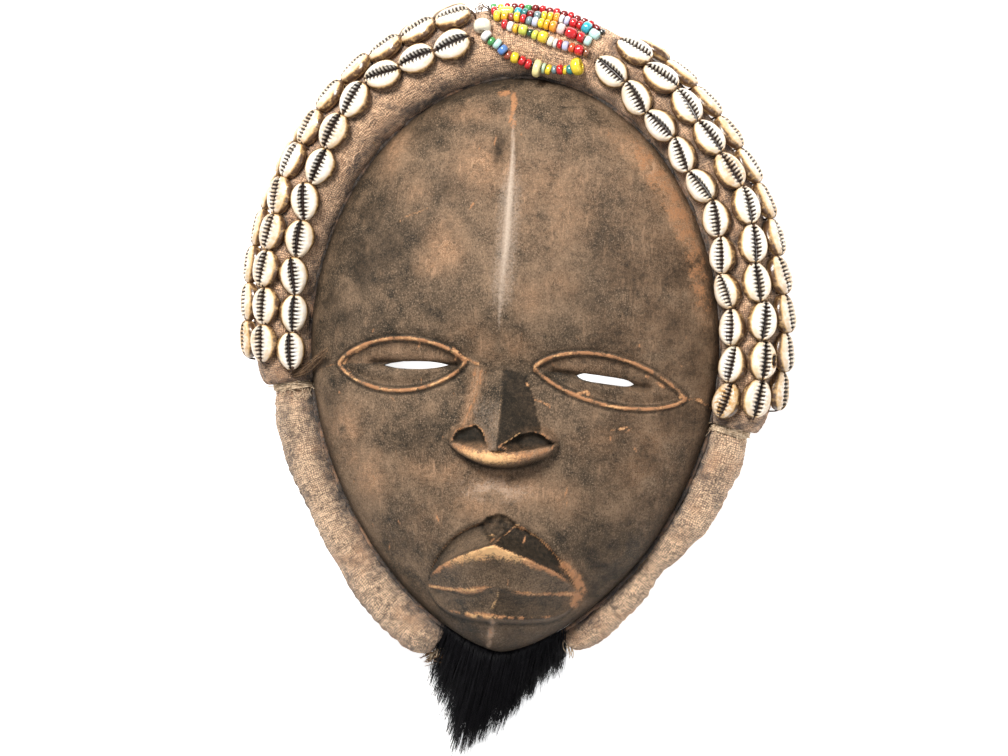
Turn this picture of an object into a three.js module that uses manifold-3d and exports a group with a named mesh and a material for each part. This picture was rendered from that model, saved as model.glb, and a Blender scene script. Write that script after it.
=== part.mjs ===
// A West African carved wooden face mask lying on its back, face up.
// The hollow wooden face is ringed by a stuffed cloth roll sewn with cowrie shells and strings of
// glass beads, two thinner cloth rolls down the cheeks, and a tuft of black hair at the chin.
// Millimetres, +X towards the mask's left cheek as seen in front (viewer's right), +Y towards the
// crown, +Z out of the face. The origin is under the middle of the whole mask, on the floor.
import * as THREE from "three";
import { mergeVertices } from "three/addons/utils/BufferGeometryUtils.js";
import Module from "manifold-3d";

const wasm = await Module();
wasm.setup();
const DEG = Math.PI / 180;

// Wooden face: egg-shaped outline, widest just above the eyes
const WOOD_HALF_WIDTH = 102.5;
const WOOD_TOP_Y = 142;
const WOOD_CHIN_Y = -142;
const WIDEST_Y = 11;
const CROWN_POWER = 1.95;
const JAW_POWER = 1.9;
const JAW_ROUNDING = 0.66;

// Wooden face: depth
const EDGE_Z = 16;
const FOREHEAD_DEPTH = 42;
const JAW_DEPTH = 34;
const DOME_POWER = 2.4;
const WALL = 8.5;
// The back is a smaller copy of the front: its shape at (x, y) is the front's at (spread x, spread y)
const BACK_SPREAD = { x: 1.08, y: 1.06 };
const MUZZLE = { height: 17, y: -100, halfWidth: 44, halfLength: 38 };
const BROW_HOLLOW = { depth: 4.5, y: -8, halfLength: 17 };

// Carved features
const RIDGE = { top: 134, bottom: 12, halfWidth: 2.2, height: 1.6 };
const EYE_RIM_RADIUS = 1.6;
const EYES = [
  {
    name: "left",
    inner: [-17.5, 0.6],
    outer: [-83, -3],
    bulge: { up: 12, down: 13.5 },
    slit: { x: -43.4, y: -2, halfLength: 17, tilt: 2.6 },
  },
  {
    name: "right",
    inner: [17, -0.6],
    outer: [88, -12.6],
    bulge: { up: 13.3, down: 10.6 },
    slit: { x: 49.8, y: -5, halfLength: 14, tilt: -6 },
  },
];
const SLIT_HALF_HEIGHT = 1.9;
// The nose is a wedge: its crease and, on each side, an edge where it turns down to its foot. Each
// pair is the x at the root and at the tip; a share is how high the edge lies under the crease.
const NOSE = {
  root: -1,
  tip: -43,
  rootRise: 1.5,
  tipRise: 20,
  crease: [1.7, 3.1],
  left: { edge: [-8, -12.5], foot: [-11, -22], share: 0.32 },
  right: { edge: [12, 24], foot: [14, 27], share: 0.14 },
};
const WINGS = [
  { x: -11.5, y: -37, turn: -14 },
  { x: 17.5, y: -36.5, turn: 14 },
];
const WING = { radii: [11, 7.2, 8], rise: 2 };
const NOSTRIL = { inwards: 1.5, radii: [9.2, 4.6, 6], turn: 1.7, rise: 13.5 };
const NOSE_RIM = { x: 3.2, halfWidth: 24, low: -44.9, curl: 5.4, rise: 12.5, radius: 3.3 };
const MOUTH = {
  x: 3,
  y: -109.3,
  halfWidth: 37.3,
  contour: 33.5,
  upper: 23.6,
  lower: 14,
  push: 10,
  recess: 2.4,
  bow: { x: 2, halfWidth: 10, height: 3 },
};
const NOTCH = { left: [-5.9, -77.6], over: [2.9, -65.8], right: [12, -75.8], tip: [2, -85.6], depth: 2.2 };
const CHIN_RIDGE = { top: -123, bottom: -139, halfWidth: 2, height: 1.4 };

// Cloth rolls round the edge; each list of radii runs evenly from one end to the other
const ROLL_GAP = 0.5;
const ROLL_LIFT = 0.6;
const ROLL_END_DEGREES = 4.5;
const HEAD_ROLL = {
  from: -96.8,
  to: 103.2,
  necks: [0.84, 0.84],
  radii: [13.2, 14.8, 15.9, 16.8, 17.2, 17, 15.9, 14.9, 14.7, 14.7, 14.5, 13.8, 12.2],
};
const CHEEK_ROLL_LEFT = {
  from: -98.7,
  to: -168.5,
  necks: [0.9, 0.6],
  radii: [10.6, 11.6, 11.5, 10.8, 10.6, 10.8, 11.3, 11.2, 10.8],
};
const CHEEK_ROLL_RIGHT = {
  from: 105.1,
  to: 168,
  necks: [0.92, 0.6],
  radii: [9.6, 10.2, 9.8, 9.2, 7.8, 6.1, 7.2, 7.6, 7],
};
const COLLAR_GAP = 0.3;
const LEFT_COLLAR_RADIUS = 10.6;
const RIGHT_COLLAR_RADIUS = 9.6;
const COLLAR_EDGE = 0.92;

// Cowrie shells, backs cut flat, sewn slit side out in three rows up each side. A lean is the angle
// from straight up towards the outside of the roll at which a shell sits.
const SHELL = { length: 18.6, width: 14.4, height: 6.4, sink: 0.7, gap: 0.5 };
// Its section: how wide its cut back, shoulders and slit are, and how much fuller one end is
const SHELL_SHAPE = { back: 0.8, shoulder: 0.68, slit: 0.42, narrow: 0.22, slitDepth: 1.6, egg: 0.13 };
const SHELL_SIDES = 8;
const OUTER_SHELL_SIDES = 6;
const WIDEST_AT = 0.42;
const LEFT_SIDE = {
  name: "left",
  leans: [-24, -30, -24, -20, -16, -5, -4, 11, 16, 6, 4],
  rowStep: 45,
  rows: [
    { name: "inner", from: -88.5, to: -11, count: 11 },
    { name: "middle", from: -86.5, to: -10, count: 12 },
    { name: "outer", from: -85.5, to: -11, count: 12 },
  ],
};
const RIGHT_SIDE = {
  name: "right",
  leans: [-4, -16, -20, -22, -16, -22, -34, -28, -27, -24, -24],
  rowStep: 50,
  rows: [
    { name: "inner", from: 16.2, to: 96.4, count: 11 },
    { name: "middle", from: 17.4, to: 94.5, count: 11 },
    { name: "outer", from: 19, to: 92, count: 11 },
  ],
};
const OUTER_OVERLAP = 2;

// Bead strings across the top of the head roll, each as wide as its largest beads
const BEAD_SIDES = 4;
const BEAD_CLEARANCE = 0.8;
const BEAD_STRINGS = [
  { from: -5, to: 12, leans: [78, 90, 74, 66, 62, 52], beads: 12, radius: 1.6 },
  { from: -4.6, to: 11.7, leans: [56, 54, 47, 46, 45, 36], beads: 14, radius: 2 },
  { from: -4.2, to: 11, leans: [39, 37, 30, 26, 23, 21], beads: 13, radius: 1.9 },
  { from: -3, to: 11.5, leans: [24, 15, 8, 2, 2, 4], beads: 14, radius: 2 },
  { from: -5.9, to: 11.3, leans: [20, -2, -24, -38, -44, -38, -16], beads: 17, radius: 2.1 },
];

// Hair at the chin: roots along the rim, tips of the locks swept towards the viewer's left
const BEARD = { from: -170.5, to: -189.5, low: 3, thick: 11 };
const BEARD_TIPS = [
  [-37, -157],
  [-30.5, -171],
  [-22.5, -195.5],
  [-10, -187],
  [2, -176],
  [13, -163],
  [31, -148],
];

const mix = (a, b, t) => a + (b - a) * t;
const clamp01 = (t) => Math.min(1, Math.max(0, t));

function smooth(from, to, value) {
  const t = clamp01((value - from) / (to - from));
  return t * t * (3 - 2 * t);
}

// A repeatable number from -1 to 1 for shell number n, so that neighbours differ a little
function jitter(n, salt) {
  const s = Math.sin(n * 12.9898 + salt * 78.233) * 43758.5453;
  return 2 * (s - Math.floor(s)) - 1;
}

function halfWidthAt(y) {
  if (y >= WIDEST_Y) {
    const rise = Math.min(1, (y - WIDEST_Y) / (WOOD_TOP_Y - WIDEST_Y));
    return WOOD_HALF_WIDTH * (1 - rise ** CROWN_POWER) ** (1 / CROWN_POWER);
  }
  const drop = Math.min(1, (WIDEST_Y - y) / (WIDEST_Y - WOOD_CHIN_Y));
  return WOOD_HALF_WIDTH * (1 - drop ** JAW_POWER) ** JAW_ROUNDING;
}

// Distance from the middle of the face to the rim; degrees run clockwise from the crown
function rimRadius(degrees) {
  const sin = Math.sin(degrees * DEG);
  const cos = Math.cos(degrees * DEG);
  const halvings = 40;
  let inside = 0;
  let outside = 1.2 * WOOD_TOP_Y;
  for (let i = 0; i < halvings; i++) {
    const r = (inside + outside) / 2;
    const y = r * cos;
    const within = y < WOOD_TOP_Y && y > WOOD_CHIN_Y && Math.abs(r * sin) < halfWidthAt(y);
    if (within) inside = r;
    else outside = r;
  }
  return inside;
}

function rimPoint(degrees) {
  const r = rimRadius(degrees);
  return new THREE.Vector3(r * Math.sin(degrees * DEG), r * Math.cos(degrees * DEG), 0);
}

// Unit tangent (clockwise) and outward normal of the rim
function rimFrame(degrees) {
  const reach = 1.5;
  const tangent = rimPoint(degrees + reach).sub(rimPoint(degrees - reach)).normalize();
  return { tangent, normal: new THREE.Vector3(-tangent.y, tangent.x, 0) };
}

// Height of the plain face, before nose, lips and rims are added
function faceHeight(x, y) {
  const degrees = Math.atan2(x, y) / DEG;
  const rho = Math.min(1, Math.hypot(x, y) / rimRadius(degrees));
  const depth = mix(JAW_DEPTH, FOREHEAD_DEPTH, smooth(-60, 40, y));
  const dome = depth * Math.sqrt(1 - rho ** DOME_POWER);
  const fade = 1 - rho ** 4;
  const muzzle =
    MUZZLE.height * Math.exp(-((x / MUZZLE.halfWidth) ** 2) - ((y - MUZZLE.y) / MUZZLE.halfLength) ** 2);
  const hollow = BROW_HOLLOW.depth * Math.exp(-(((y - BROW_HOLLOW.y) / BROW_HOLLOW.halfLength) ** 2));
  return EDGE_Z + dome + fade * (muzzle - hollow);
}

// A closed surface through rings of points. A ring of one point is a tip; other ends are capped.
function loft(rings, { loop = false } = {}) {
  const points = [];
  const faces = [];
  const starts = rings.map((ring) => {
    const start = points.length;
    points.push(...ring);
    return start;
  });
  const span = loop ? rings.length : rings.length - 1;
  for (let k = 0; k < span; k++) {
    const next = (k + 1) % rings.length;
    const [a, b] = [starts[k], starts[next]];
    const [na, nb] = [rings[k].length, rings[next].length];
    const n = Math.max(na, nb);
    for (let i = 0; i < n; i++) {
      const j = (i + 1) % n;
      if (na > 1) faces.push(a + i, a + j, b + (nb > 1 ? j : 0));
      if (nb > 1) faces.push(a + (na > 1 ? i : 0), b + j, b + i);
    }
  }
  if (!loop) {
    for (const [start, ring, flip] of [
      [starts[0], rings[0], true],
      [starts[rings.length - 1], rings[rings.length - 1], false],
    ])
      for (let i = 1; i + 1 < ring.length; i++)
        faces.push(start, start + (flip ? i + 1 : i), start + (flip ? i : i + 1));
  }
  const geometry = new THREE.BufferGeometry().setFromPoints(points);
  geometry.setIndex(faces);
  return geometry;
}

// A solid from a closed surface, turned right side out if its faces point inwards
function toSolid(geometry) {
  const bare = new THREE.BufferGeometry();
  bare.setAttribute("position", geometry.getAttribute("position"));
  if (geometry.index) bare.setIndex(geometry.index);
  const merged = mergeVertices(bare, 1e-4);
  const vertProperties = new Float32Array(merged.attributes.position.array);
  const triVerts = new Uint32Array(merged.index.array);
  const made = new wasm.Manifold(new wasm.Mesh({ numProp: 3, vertProperties, triVerts }));
  if (made.volume() >= 0) return made;
  triVerts.reverse();
  return new wasm.Manifold(new wasm.Mesh({ numProp: 3, vertProperties, triVerts }));
}

function toGeometry(solid) {
  const mesh = solid.getMesh();
  const geometry = new THREE.BufferGeometry();
  geometry.setAttribute("position", new THREE.BufferAttribute(mesh.vertProperties, 3));
  geometry.setIndex(new THREE.BufferAttribute(mesh.triVerts, 1));
  return geometry;
}

const v3 = (x, y, z) => new THREE.Vector3(x, y, z);

// The hollow shell: rings from the middle of the front, over the rim, to the middle of the back
function shellSolid() {
  const spokes = 40;
  const ring = (rho, height, inset) =>
    Array.from({ length: spokes }, (_, i) => {
      const degrees = (360 * i) / spokes;
      const r = (rimRadius(degrees) - inset) * rho;
      const x = r * Math.sin(degrees * DEG);
      const y = r * Math.cos(degrees * DEG);
      return v3(x, y, height(x, y));
    });
  const front = [0.22, 0.43, 0.62, 0.78, 0.89, 0.96, 0.99];
  const back = [0.98, 0.9, 0.73, 0.42];
  const backHeight = (x, y) => faceHeight(x * BACK_SPREAD.x, y * BACK_SPREAD.y) - WALL;
  return toSolid(
    loft([
      [v3(0, 0, faceHeight(0, 0))],
      ...front.map((rho) => ring(rho, faceHeight, 0)),
      ring(1, () => EDGE_Z, 0),
      ring(1, () => 0, 0),
      ring(1, () => 0, WALL),
      ring(1, () => EDGE_Z - WALL, WALL),
      ...back.map((rho) => ring(rho, backHeight, WALL)),
      [v3(0, 0, backHeight(0, 0))],
    ]),
  );
}

// A raised line down the face, its foot sunk into the wood
function verticalRidge({ top, bottom, halfWidth, height }) {
  const steps = 10;
  const sunk = 3;
  const rings = Array.from({ length: steps + 1 }, (_, i) => {
    const y = mix(top, bottom, i / steps);
    const z = faceHeight(0, y);
    return [
      v3(-halfWidth, y, z - sunk),
      v3(halfWidth, y, z - sunk),
      v3(halfWidth, y, z - 0.3),
      v3(0, y, z + height),
      v3(-halfWidth, y, z - 0.3),
    ];
  });
  return toSolid(loft(rings));
}

// A point of an eye's almond outline; turn runs from 0 to 1 round it
function almondPoint({ inner, outer, bulge }, turn) {
  const t = 0.5 - 0.5 * Math.cos(turn * 2 * Math.PI);
  const lift = (turn < 0.5 ? bulge.up : -bulge.down) * (4 * t * (1 - t)) ** 0.75;
  return new THREE.Vector2(mix(inner[0], outer[0], t), mix(inner[1], outer[1], t) + lift);
}

function eyeRim(eye) {
  const steps = 20;
  const sides = 4;
  const rings = Array.from({ length: steps }, (_, i) => {
    const here = almondPoint(eye, (i + 0.5) / steps);
    const next = almondPoint(eye, (i + 0.9) / steps);
    const run = next.sub(almondPoint(eye, (i + 0.1) / steps)).normalize();
    return Array.from({ length: sides }, (_, k) => {
      const turn = (k / sides) * 2 * Math.PI;
      const out = EYE_RIM_RADIUS * Math.cos(turn);
      const up = EYE_RIM_RADIUS * Math.sin(turn);
      return v3(here.x - run.y * out, here.y + run.x * out, faceHeight(here.x, here.y) + up);
    });
  });
  return toSolid(loft(rings, { loop: true }));
}

// The seeing slit, a thin lens cut straight through the wood
function eyeSlit({ slit }) {
  const lens = new THREE.Shape();
  lens.moveTo(-slit.halfLength, 0);
  lens.quadraticCurveTo(0, -2 * SLIT_HALF_HEIGHT, slit.halfLength, 0);
  lens.quadraticCurveTo(0, 2 * SLIT_HALF_HEIGHT, -slit.halfLength, 0);
  const through = { depth: 90, bevelEnabled: false, curveSegments: 5 };
  const geometry = new THREE.ExtrudeGeometry(lens, through);
  geometry.rotateZ(slit.tilt * DEG).translate(slit.x, slit.y, 0);
  return toSolid(geometry);
}

// The nose, a wedge whose two planes meet in a narrow crease, each with a lower strip at its foot
function noseWedge() {
  const steps = 6;
  const sunk = 5;
  const rings = Array.from({ length: steps + 1 }, (_, i) => {
    const t = i / steps;
    const y = mix(NOSE.root, NOSE.tip, t);
    const across = ([atRoot, atTip]) => mix(atRoot, atTip, t);
    const crease = across(NOSE.crease);
    const rise = mix(NOSE.rootRise, NOSE.tipRise, t);
    const side = ({ edge, foot, share }) => {
      const [edgeX, footX] = [across(edge), across(foot)];
      return [
        v3(footX, y, faceHeight(footX, y) - sunk),
        v3(footX, y, faceHeight(footX, y)),
        v3(edgeX, y, faceHeight(edgeX, y) + share * rise),
      ];
    };
    const top = v3(crease, y, faceHeight(crease, y) + rise);
    return [...side(NOSE.right), top, ...side(NOSE.left).reverse()];
  });
  return toSolid(loft(rings));
}

// A nostril wing: a lobe with a scoop out of its front, between the crease and the rim below it
function noseWing({ x, y, turn }) {
  const lobe = new THREE.SphereGeometry(1, 9, 6);
  lobe.scale(...WING.radii).rotateZ(turn * DEG).translate(x, y, faceHeight(x, y) + WING.rise);
  return toSolid(lobe);
}

function nostrilScoop({ x, y, turn }) {
  const scoop = new THREE.SphereGeometry(1, 8, 5);
  scoop.scale(...NOSTRIL.radii).rotateZ(NOSTRIL.turn * turn * DEG);
  scoop.translate(x - Math.sign(turn) * NOSTRIL.inwards, y + 1, faceHeight(x, y) + NOSTRIL.rise);
  return toSolid(scoop);
}

// The worn rim that sweeps under the nose from wing to wing
function noseRim() {
  const steps = 8;
  const sides = 6;
  const sunk = 1;
  const tall = 1.4;
  const rings = Array.from({ length: steps + 1 }, (_, i) => {
    const t = mix(-1, 1, i / steps);
    const x = NOSE_RIM.x + NOSE_RIM.halfWidth * t;
    const y = NOSE_RIM.low + NOSE_RIM.curl * t ** 2;
    const z = faceHeight(x, y) + NOSE_RIM.rise * (1 - 0.62 * t ** 2);
    const radius = NOSE_RIM.radius * (1 - 0.45 * t ** 2);
    return Array.from({ length: sides }, (_, k) => {
      const turn = (k / sides) * 2 * Math.PI;
      return v3(x, y + radius * Math.cos(turn), z - sunk + tall * radius * Math.sin(turn));
    });
  });
  return toSolid(loft(rings));
}

// Where the mouth's lines run at x: top of the sunk area over the lips, the lips' outer edges, the
// line between them, and how far they stand out
function mouthAt(x) {
  const t = Math.min(1, Math.abs(x - MOUTH.x) / MOUTH.halfWidth);
  const { bow } = MOUTH;
  return {
    contour: MOUTH.y + MOUTH.contour * (1 - t ** 2.2) ** 0.8,
    upper: MOUTH.y + MOUTH.upper * (1 - t ** 1.1) ** 0.65,
    lower: MOUTH.y - MOUTH.lower * (1 - t ** 5) ** 0.7,
    line: MOUTH.y + bow.height * Math.exp(-(((x - bow.x) / bow.halfWidth) ** 2)) * (1 - t),
    push: MOUTH.push * (1 - t ** 2) ** 0.6,
  };
}

function mouthRings(profile) {
  const steps = 12;
  return Array.from({ length: steps + 1 }, (_, i) => {
    const x = MOUTH.x + 0.99 * MOUTH.halfWidth * Math.sin(mix(-90, 90, i / steps) * DEG);
    const lines = mouthAt(x);
    const spread = (lines.contour - lines.lower) / (MOUTH.contour + MOUTH.lower);
    return profile(lines, spread, (y) => faceHeight(x, y)).map(([y, z]) => v3(x, y, z));
  });
}

// The shallow sunk area round the lips
function mouthRecess() {
  const clear = 30;
  const rings = mouthRings(({ contour, lower }, spread, face) => [
    [contour, face(contour) - MOUTH.recess * spread],
    [contour, face(contour) + clear],
    [lower - 2.5 * spread, face(lower) + clear],
    [lower - 2.5 * spread, face(lower) - MOUTH.recess * spread],
  ]);
  return toSolid(loft(rings));
}

// Both lips in one form, with a worn crest along each edge and along the line between them. Each
// pair is a place down the section and its height; the mouth's corners draw them together.
function lips() {
  const rings = mouthRings(({ contour, upper, lower, line, push }, spread, face) => {
    const top = face(upper) + push;
    const middle = mix(face(upper), face(lower), 0.55) + push;
    const bottom = face(lower) + 0.85 * push;
    const sunk = face(contour) - MOUTH.recess * spread;
    return [
      [contour - 0.2 * spread, sunk - 4],
      [contour - 0.2 * spread, sunk],
      [mix(contour, upper, 0.5), mix(sunk, top, 0.2)],
      [upper + 0.8 * spread, top - 1.4 * spread],
      [upper - 1 * spread, top],
      [upper - 4 * spread, top - 1.2 * spread],
      [line + 2 * spread, middle - 0.8 * spread],
      [line, middle],
      [line - 2 * spread, middle - 1.2 * spread],
      [lower + 3 * spread, bottom - 0.8 * spread],
      [lower + 0.8 * spread, bottom],
      [lower - 0.8 * spread, mix(face(lower), bottom, 0.4)],
      [lower - 2.4 * spread, face(lower) - 1],
      [lower - 2.4 * spread, face(lower) - 6],
    ];
  });
  return toSolid(loft(rings));
}

// The notch under the nose, an upside-down triangle cut between the two planes over the lip
function philtrumNotch() {
  const notch = new THREE.Shape();
  notch.moveTo(...NOTCH.left);
  notch.quadraticCurveTo(...NOTCH.over, ...NOTCH.right);
  notch.lineTo(...NOTCH.tip);
  notch.closePath();
  const geometry = new THREE.ExtrudeGeometry(notch, { depth: 30, bevelEnabled: false, curveSegments: 5 });
  geometry.translate(0, 0, faceHeight(...NOTCH.right) - NOTCH.depth);
  return toSolid(geometry);
}

function woodFace() {
  let solid = shellSolid().add(verticalRidge(RIDGE)).add(verticalRidge(CHIN_RIDGE));
  solid = solid.add(noseWedge());
  for (const wing of WINGS) solid = solid.add(noseWing(wing));
  for (const wing of WINGS) solid = solid.subtract(nostrilScoop(wing));
  solid = solid.add(noseRim());
  solid = solid.subtract(mouthRecess()).add(lips()).subtract(philtrumNotch());
  for (const eye of EYES) solid = solid.add(eyeRim(eye)).subtract(eyeSlit(eye));
  return toGeometry(solid);
}

// The value of an evenly spaced list at t from 0 to 1, eased between its entries
function valueAlong(list, t) {
  const place = clamp01(t) * (list.length - 1);
  const i = Math.min(Math.floor(place), list.length - 2);
  return mix(list[i], list[i + 1], smooth(0, 1, place - i));
}

// A stuffed roll's radius, drawn in to a neck at each end
function rollRadius({ from, to, necks, radii }, degrees) {
  const t = (degrees - from) / (to - from);
  const toEnd = Math.min(Math.abs(degrees - from), Math.abs(to - degrees));
  const rounding = Math.sqrt(1 - (1 - clamp01(toEnd / ROLL_END_DEGREES)) ** 2);
  return valueAlong(radii, t) * mix(necks[t < 0.5 ? 0 : 1], 1, rounding);
}

const headRadius = (degrees) => rollRadius(HEAD_ROLL, degrees);

// Middle line of a cloth roll that lies against the rim
function rollCentre(degrees, radius) {
  return rimPoint(degrees)
    .addScaledVector(rimFrame(degrees).normal, radius + ROLL_GAP)
    .setZ(radius + ROLL_LIFT);
}

// A point of a roll's section; lean is the angle from straight up towards the outside
function onRoll(degrees, radius, lean, out) {
  return rollCentre(degrees, radius)
    .addScaledVector(rimFrame(degrees).normal, out * Math.sin(lean * DEG))
    .add(v3(0, 0, out * Math.cos(lean * DEG)));
}

function ringsAlong(degreesList, sides, radiusAt) {
  return degreesList.map((degrees) => {
    const radius = radiusAt(degrees);
    return Array.from({ length: sides }, (_, k) => onRoll(degrees, radius, (360 * k) / sides, radius));
  });
}

function stuffedRoll(form, steps, sides) {
  const end = Math.sign(form.to - form.from) * ROLL_END_DEGREES;
  const even = Array.from({ length: steps + 1 }, (_, i) => mix(form.from + end, form.to - end, i / steps));
  const near = [0, 0.15, 0.5].map((t) => t * end);
  const stations = [...near.map((d) => form.from + d), ...even, ...near.reverse().map((d) => form.to - d)];
  const rings = ringsAlong(stations, sides, (degrees) => rollRadius(form, degrees));
  return toGeometry(toSolid(loft(rings)));
}

// A gathered collar of cloth and twine between two rolls
function collar(from, to, radius) {
  const middle = (from + to) / 2;
  const bulge = (degrees) => radius * (degrees === middle ? 1 : COLLAR_EDGE);
  return toGeometry(toSolid(loft(ringsAlong([from, middle, to], 8, bulge))));
}

// A flat-backed cowrie, lying along Y with its slit up and its blunt end towards +Y
function cowrie(length, width, sides) {
  const ring = (scale, z) =>
    Array.from({ length: sides }, (_, i) => {
      const turn = (i / sides) * 2 * Math.PI;
      const egg = 1 + SHELL_SHAPE.egg * Math.cos(turn);
      return v3((-width / 2) * scale * egg * Math.sin(turn), (length / 2) * scale * Math.cos(turn), z);
    });
  const { back, shoulder, slit, narrow, slitDepth } = SHELL_SHAPE;
  return loft([
    ring(back, 0),
    ring(1, SHELL.height * WIDEST_AT),
    ring(shoulder, SHELL.height * 0.95),
    ring(slit, SHELL.height - slitDepth).map((p) => v3(p.x * narrow, p.y, p.z)),
  ]);
}

// Where the shells of a row sit: evenly spaced along the roll, backs against the cloth
function shellPlaces(side, row, rowNumber) {
  const fine = 200;
  const leanAt = (degrees) => {
    const t = (degrees - side.rows[0].from) / (side.rows[0].to - side.rows[0].from);
    return valueAlong(side.leans, t) + side.rowStep * rowNumber;
  };
  const spot = (degrees, out) => {
    const radius = headRadius(degrees);
    return onRoll(degrees, radius, leanAt(degrees), radius + out);
  };
  const middle = SHELL.sink + SHELL.height * WIDEST_AT;
  const angles = Array.from({ length: fine + 1 }, (_, i) => mix(row.from, row.to, i / fine));
  const run = [0];
  for (let i = 1; i <= fine; i++)
    run.push(run[i - 1] + spot(angles[i], middle).distanceTo(spot(angles[i - 1], middle)));
  const pitch = run[fine] / (row.count - 1);
  return Array.from({ length: row.count }, (_, n) => {
    const i = Math.min(fine - 1, Math.max(0, run.findIndex((s) => s >= n * pitch - 1e-6) - 1));
    const share = clamp01((n * pitch - run[i]) / (run[i + 1] - run[i]));
    const degrees = mix(angles[i], angles[i + 1], share);
    const lean = leanAt(degrees) * DEG;
    const out = rimFrame(degrees).normal.multiplyScalar(Math.sin(lean)).setZ(Math.cos(lean));
    const along = spot(degrees + 1, middle).sub(spot(degrees - 1, middle));
    along.addScaledVector(out, -along.dot(out)).normalize();
    return { position: spot(degrees, SHELL.sink), out, along, pitch };
  });
}

function placeShell(object, place, turn) {
  const across = new THREE.Vector3().crossVectors(place.along, place.out).normalize();
  const basis = new THREE.Matrix4().makeBasis(across, place.along, place.out);
  object.quaternion.setFromRotationMatrix(basis);
  object.rotateZ(turn * DEG);
  object.position.copy(place.position);
  return object;
}

// The outermost shells touch end to end, so each side's are one joined solid
function joinedShells(places) {
  const shells = places.map((place) => {
    const shell = placeShell(new THREE.Object3D(), place, 0);
    shell.updateMatrix();
    const form = cowrie(place.pitch + OUTER_OVERLAP, SHELL.width, OUTER_SHELL_SIDES);
    return toSolid(form.applyMatrix4(shell.matrix));
  });
  return toGeometry(shells.reduce((sum, shell) => sum.add(shell)));
}

// A bead string: one solid whose radius steps from bead to bead along the roll
function beadString({ from, to, leans, beads, radius }, number) {
  const rings = [];
  for (let n = 0; n < beads; n++) {
    const thick = radius * (0.9 + 0.1 * jitter(n, number));
    for (const end of [0.04, 0.96]) {
      const t = (n + end) / beads;
      const degrees = mix(from, to, t);
      const lean = valueAlong(leans, t);
      const cloth = headRadius(degrees);
      const centre = onRoll(degrees, cloth, lean, cloth + radius + BEAD_CLEARANCE);
      const { normal } = rimFrame(degrees);
      rings.push(
        Array.from({ length: BEAD_SIDES }, (_, k) => {
          const turn = lean * DEG + (k / BEAD_SIDES) * 2 * Math.PI;
          return centre
            .clone()
            .addScaledVector(normal, thick * Math.sin(turn))
            .add(v3(0, 0, thick * Math.cos(turn)));
        }),
      );
    }
  }
  return toGeometry(toSolid(loft(rings)));
}

// The hair tuft as one soft solid: a section for each lock, from its root at the rim to its tip.
// It is thickest half way along and thin at the tips.
function beard() {
  const rings = BEARD_TIPS.map(([tx, ty], i) => {
    const degrees = mix(BEARD.from, BEARD.to, i / (BEARD_TIPS.length - 1));
    const root = rimPoint(degrees).addScaledVector(rimFrame(degrees).normal, 1);
    const at = (t, z) => v3(mix(root.x, tx, t), mix(root.y, ty, t), z);
    return [
      at(0, BEARD.low),
      at(0, BEARD.low + BEARD.thick),
      at(0.5, BEARD.low + BEARD.thick + 1),
      at(1, 6),
      at(1.02, 3.5),
      at(0.95, 2),
    ];
  });
  return toGeometry(toSolid(loft(rings)));
}

const finish = (hex, roughness) => new THREE.MeshStandardMaterial({ color: hex, roughness, metalness: 0 });
const woodFinish = finish(0x3e3128, 0.6);
const clothFinish = finish(0xa98a6c, 0.95);
const twineFinish = finish(0x4a3726, 0.95);
const shellFinish = finish(0xf2e9d6, 0.3);
const hairFinish = finish(0x0c0b0d, 0.7);
const beadFinishes = [0x8a1f22, 0x3fa8b8, 0xe0b21c, 0xc8262b, 0x9bbf3a].map((hex) => finish(hex, 0.25));

const mask = new THREE.Group();
mask.name = "mask";

function add(name, geometry, material) {
  const mesh = new THREE.Mesh(geometry, material);
  mesh.name = name;
  mask.add(mesh);
  return mesh;
}

add("wood_face", woodFace(), woodFinish);
add("head_roll", stuffedRoll(HEAD_ROLL, 30, 10), clothFinish);
add("cheek_roll_left", stuffedRoll(CHEEK_ROLL_LEFT, 12, 8), clothFinish);
add("cheek_roll_right", stuffedRoll(CHEEK_ROLL_RIGHT, 12, 8), clothFinish);

const leftCollar = collar(HEAD_ROLL.from - COLLAR_GAP, CHEEK_ROLL_LEFT.from + COLLAR_GAP, LEFT_COLLAR_RADIUS);
const rightCollar = collar(HEAD_ROLL.to + COLLAR_GAP, CHEEK_ROLL_RIGHT.from - COLLAR_GAP, RIGHT_COLLAR_RADIUS);
add("temple_tie_left", leftCollar, twineFinish);
add("temple_tie_right", rightCollar, twineFinish);

let shellNumber = 0;
for (const side of [LEFT_SIDE, RIGHT_SIDE])
  side.rows.forEach((row, rowNumber) => {
    const places = shellPlaces(side, row, rowNumber);
    if (row.name === "outer") {
      add(`cowrie_row_${side.name}_outer`, joinedShells(places), shellFinish);
      return;
    }
    places.forEach((place, n) => {
      shellNumber += 1;
      const longest = Math.min(SHELL.length, place.pitch - SHELL.gap);
      const length = longest * (1 + 0.03 * (jitter(shellNumber, 1) - 1));
      const width = SHELL.width * (1 + 0.04 * (jitter(shellNumber, 2) - 1));
      const name = `cowrie_${side.name}_${row.name}_${String(n + 1).padStart(2, "0")}`;
      const shell = add(name, cowrie(length, width, SHELL_SIDES), shellFinish);
      placeShell(shell, place, 6 * jitter(shellNumber, 3));
    });
  });

BEAD_STRINGS.forEach((string, i) =>
  add(`bead_string_${i + 1}`, beadString(string, i + 1), beadFinishes[i]),
);
add("beard", beard(), hairFinish);

// Stand the mask on its own footprint: middle of its outline over the origin, lowest face at zero
const box = new THREE.Box3().setFromObject(mask);
mask.position.set(-(box.min.x + box.max.x) / 2, -(box.min.y + box.max.y) / 2, -box.min.z);

export default mask;
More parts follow.
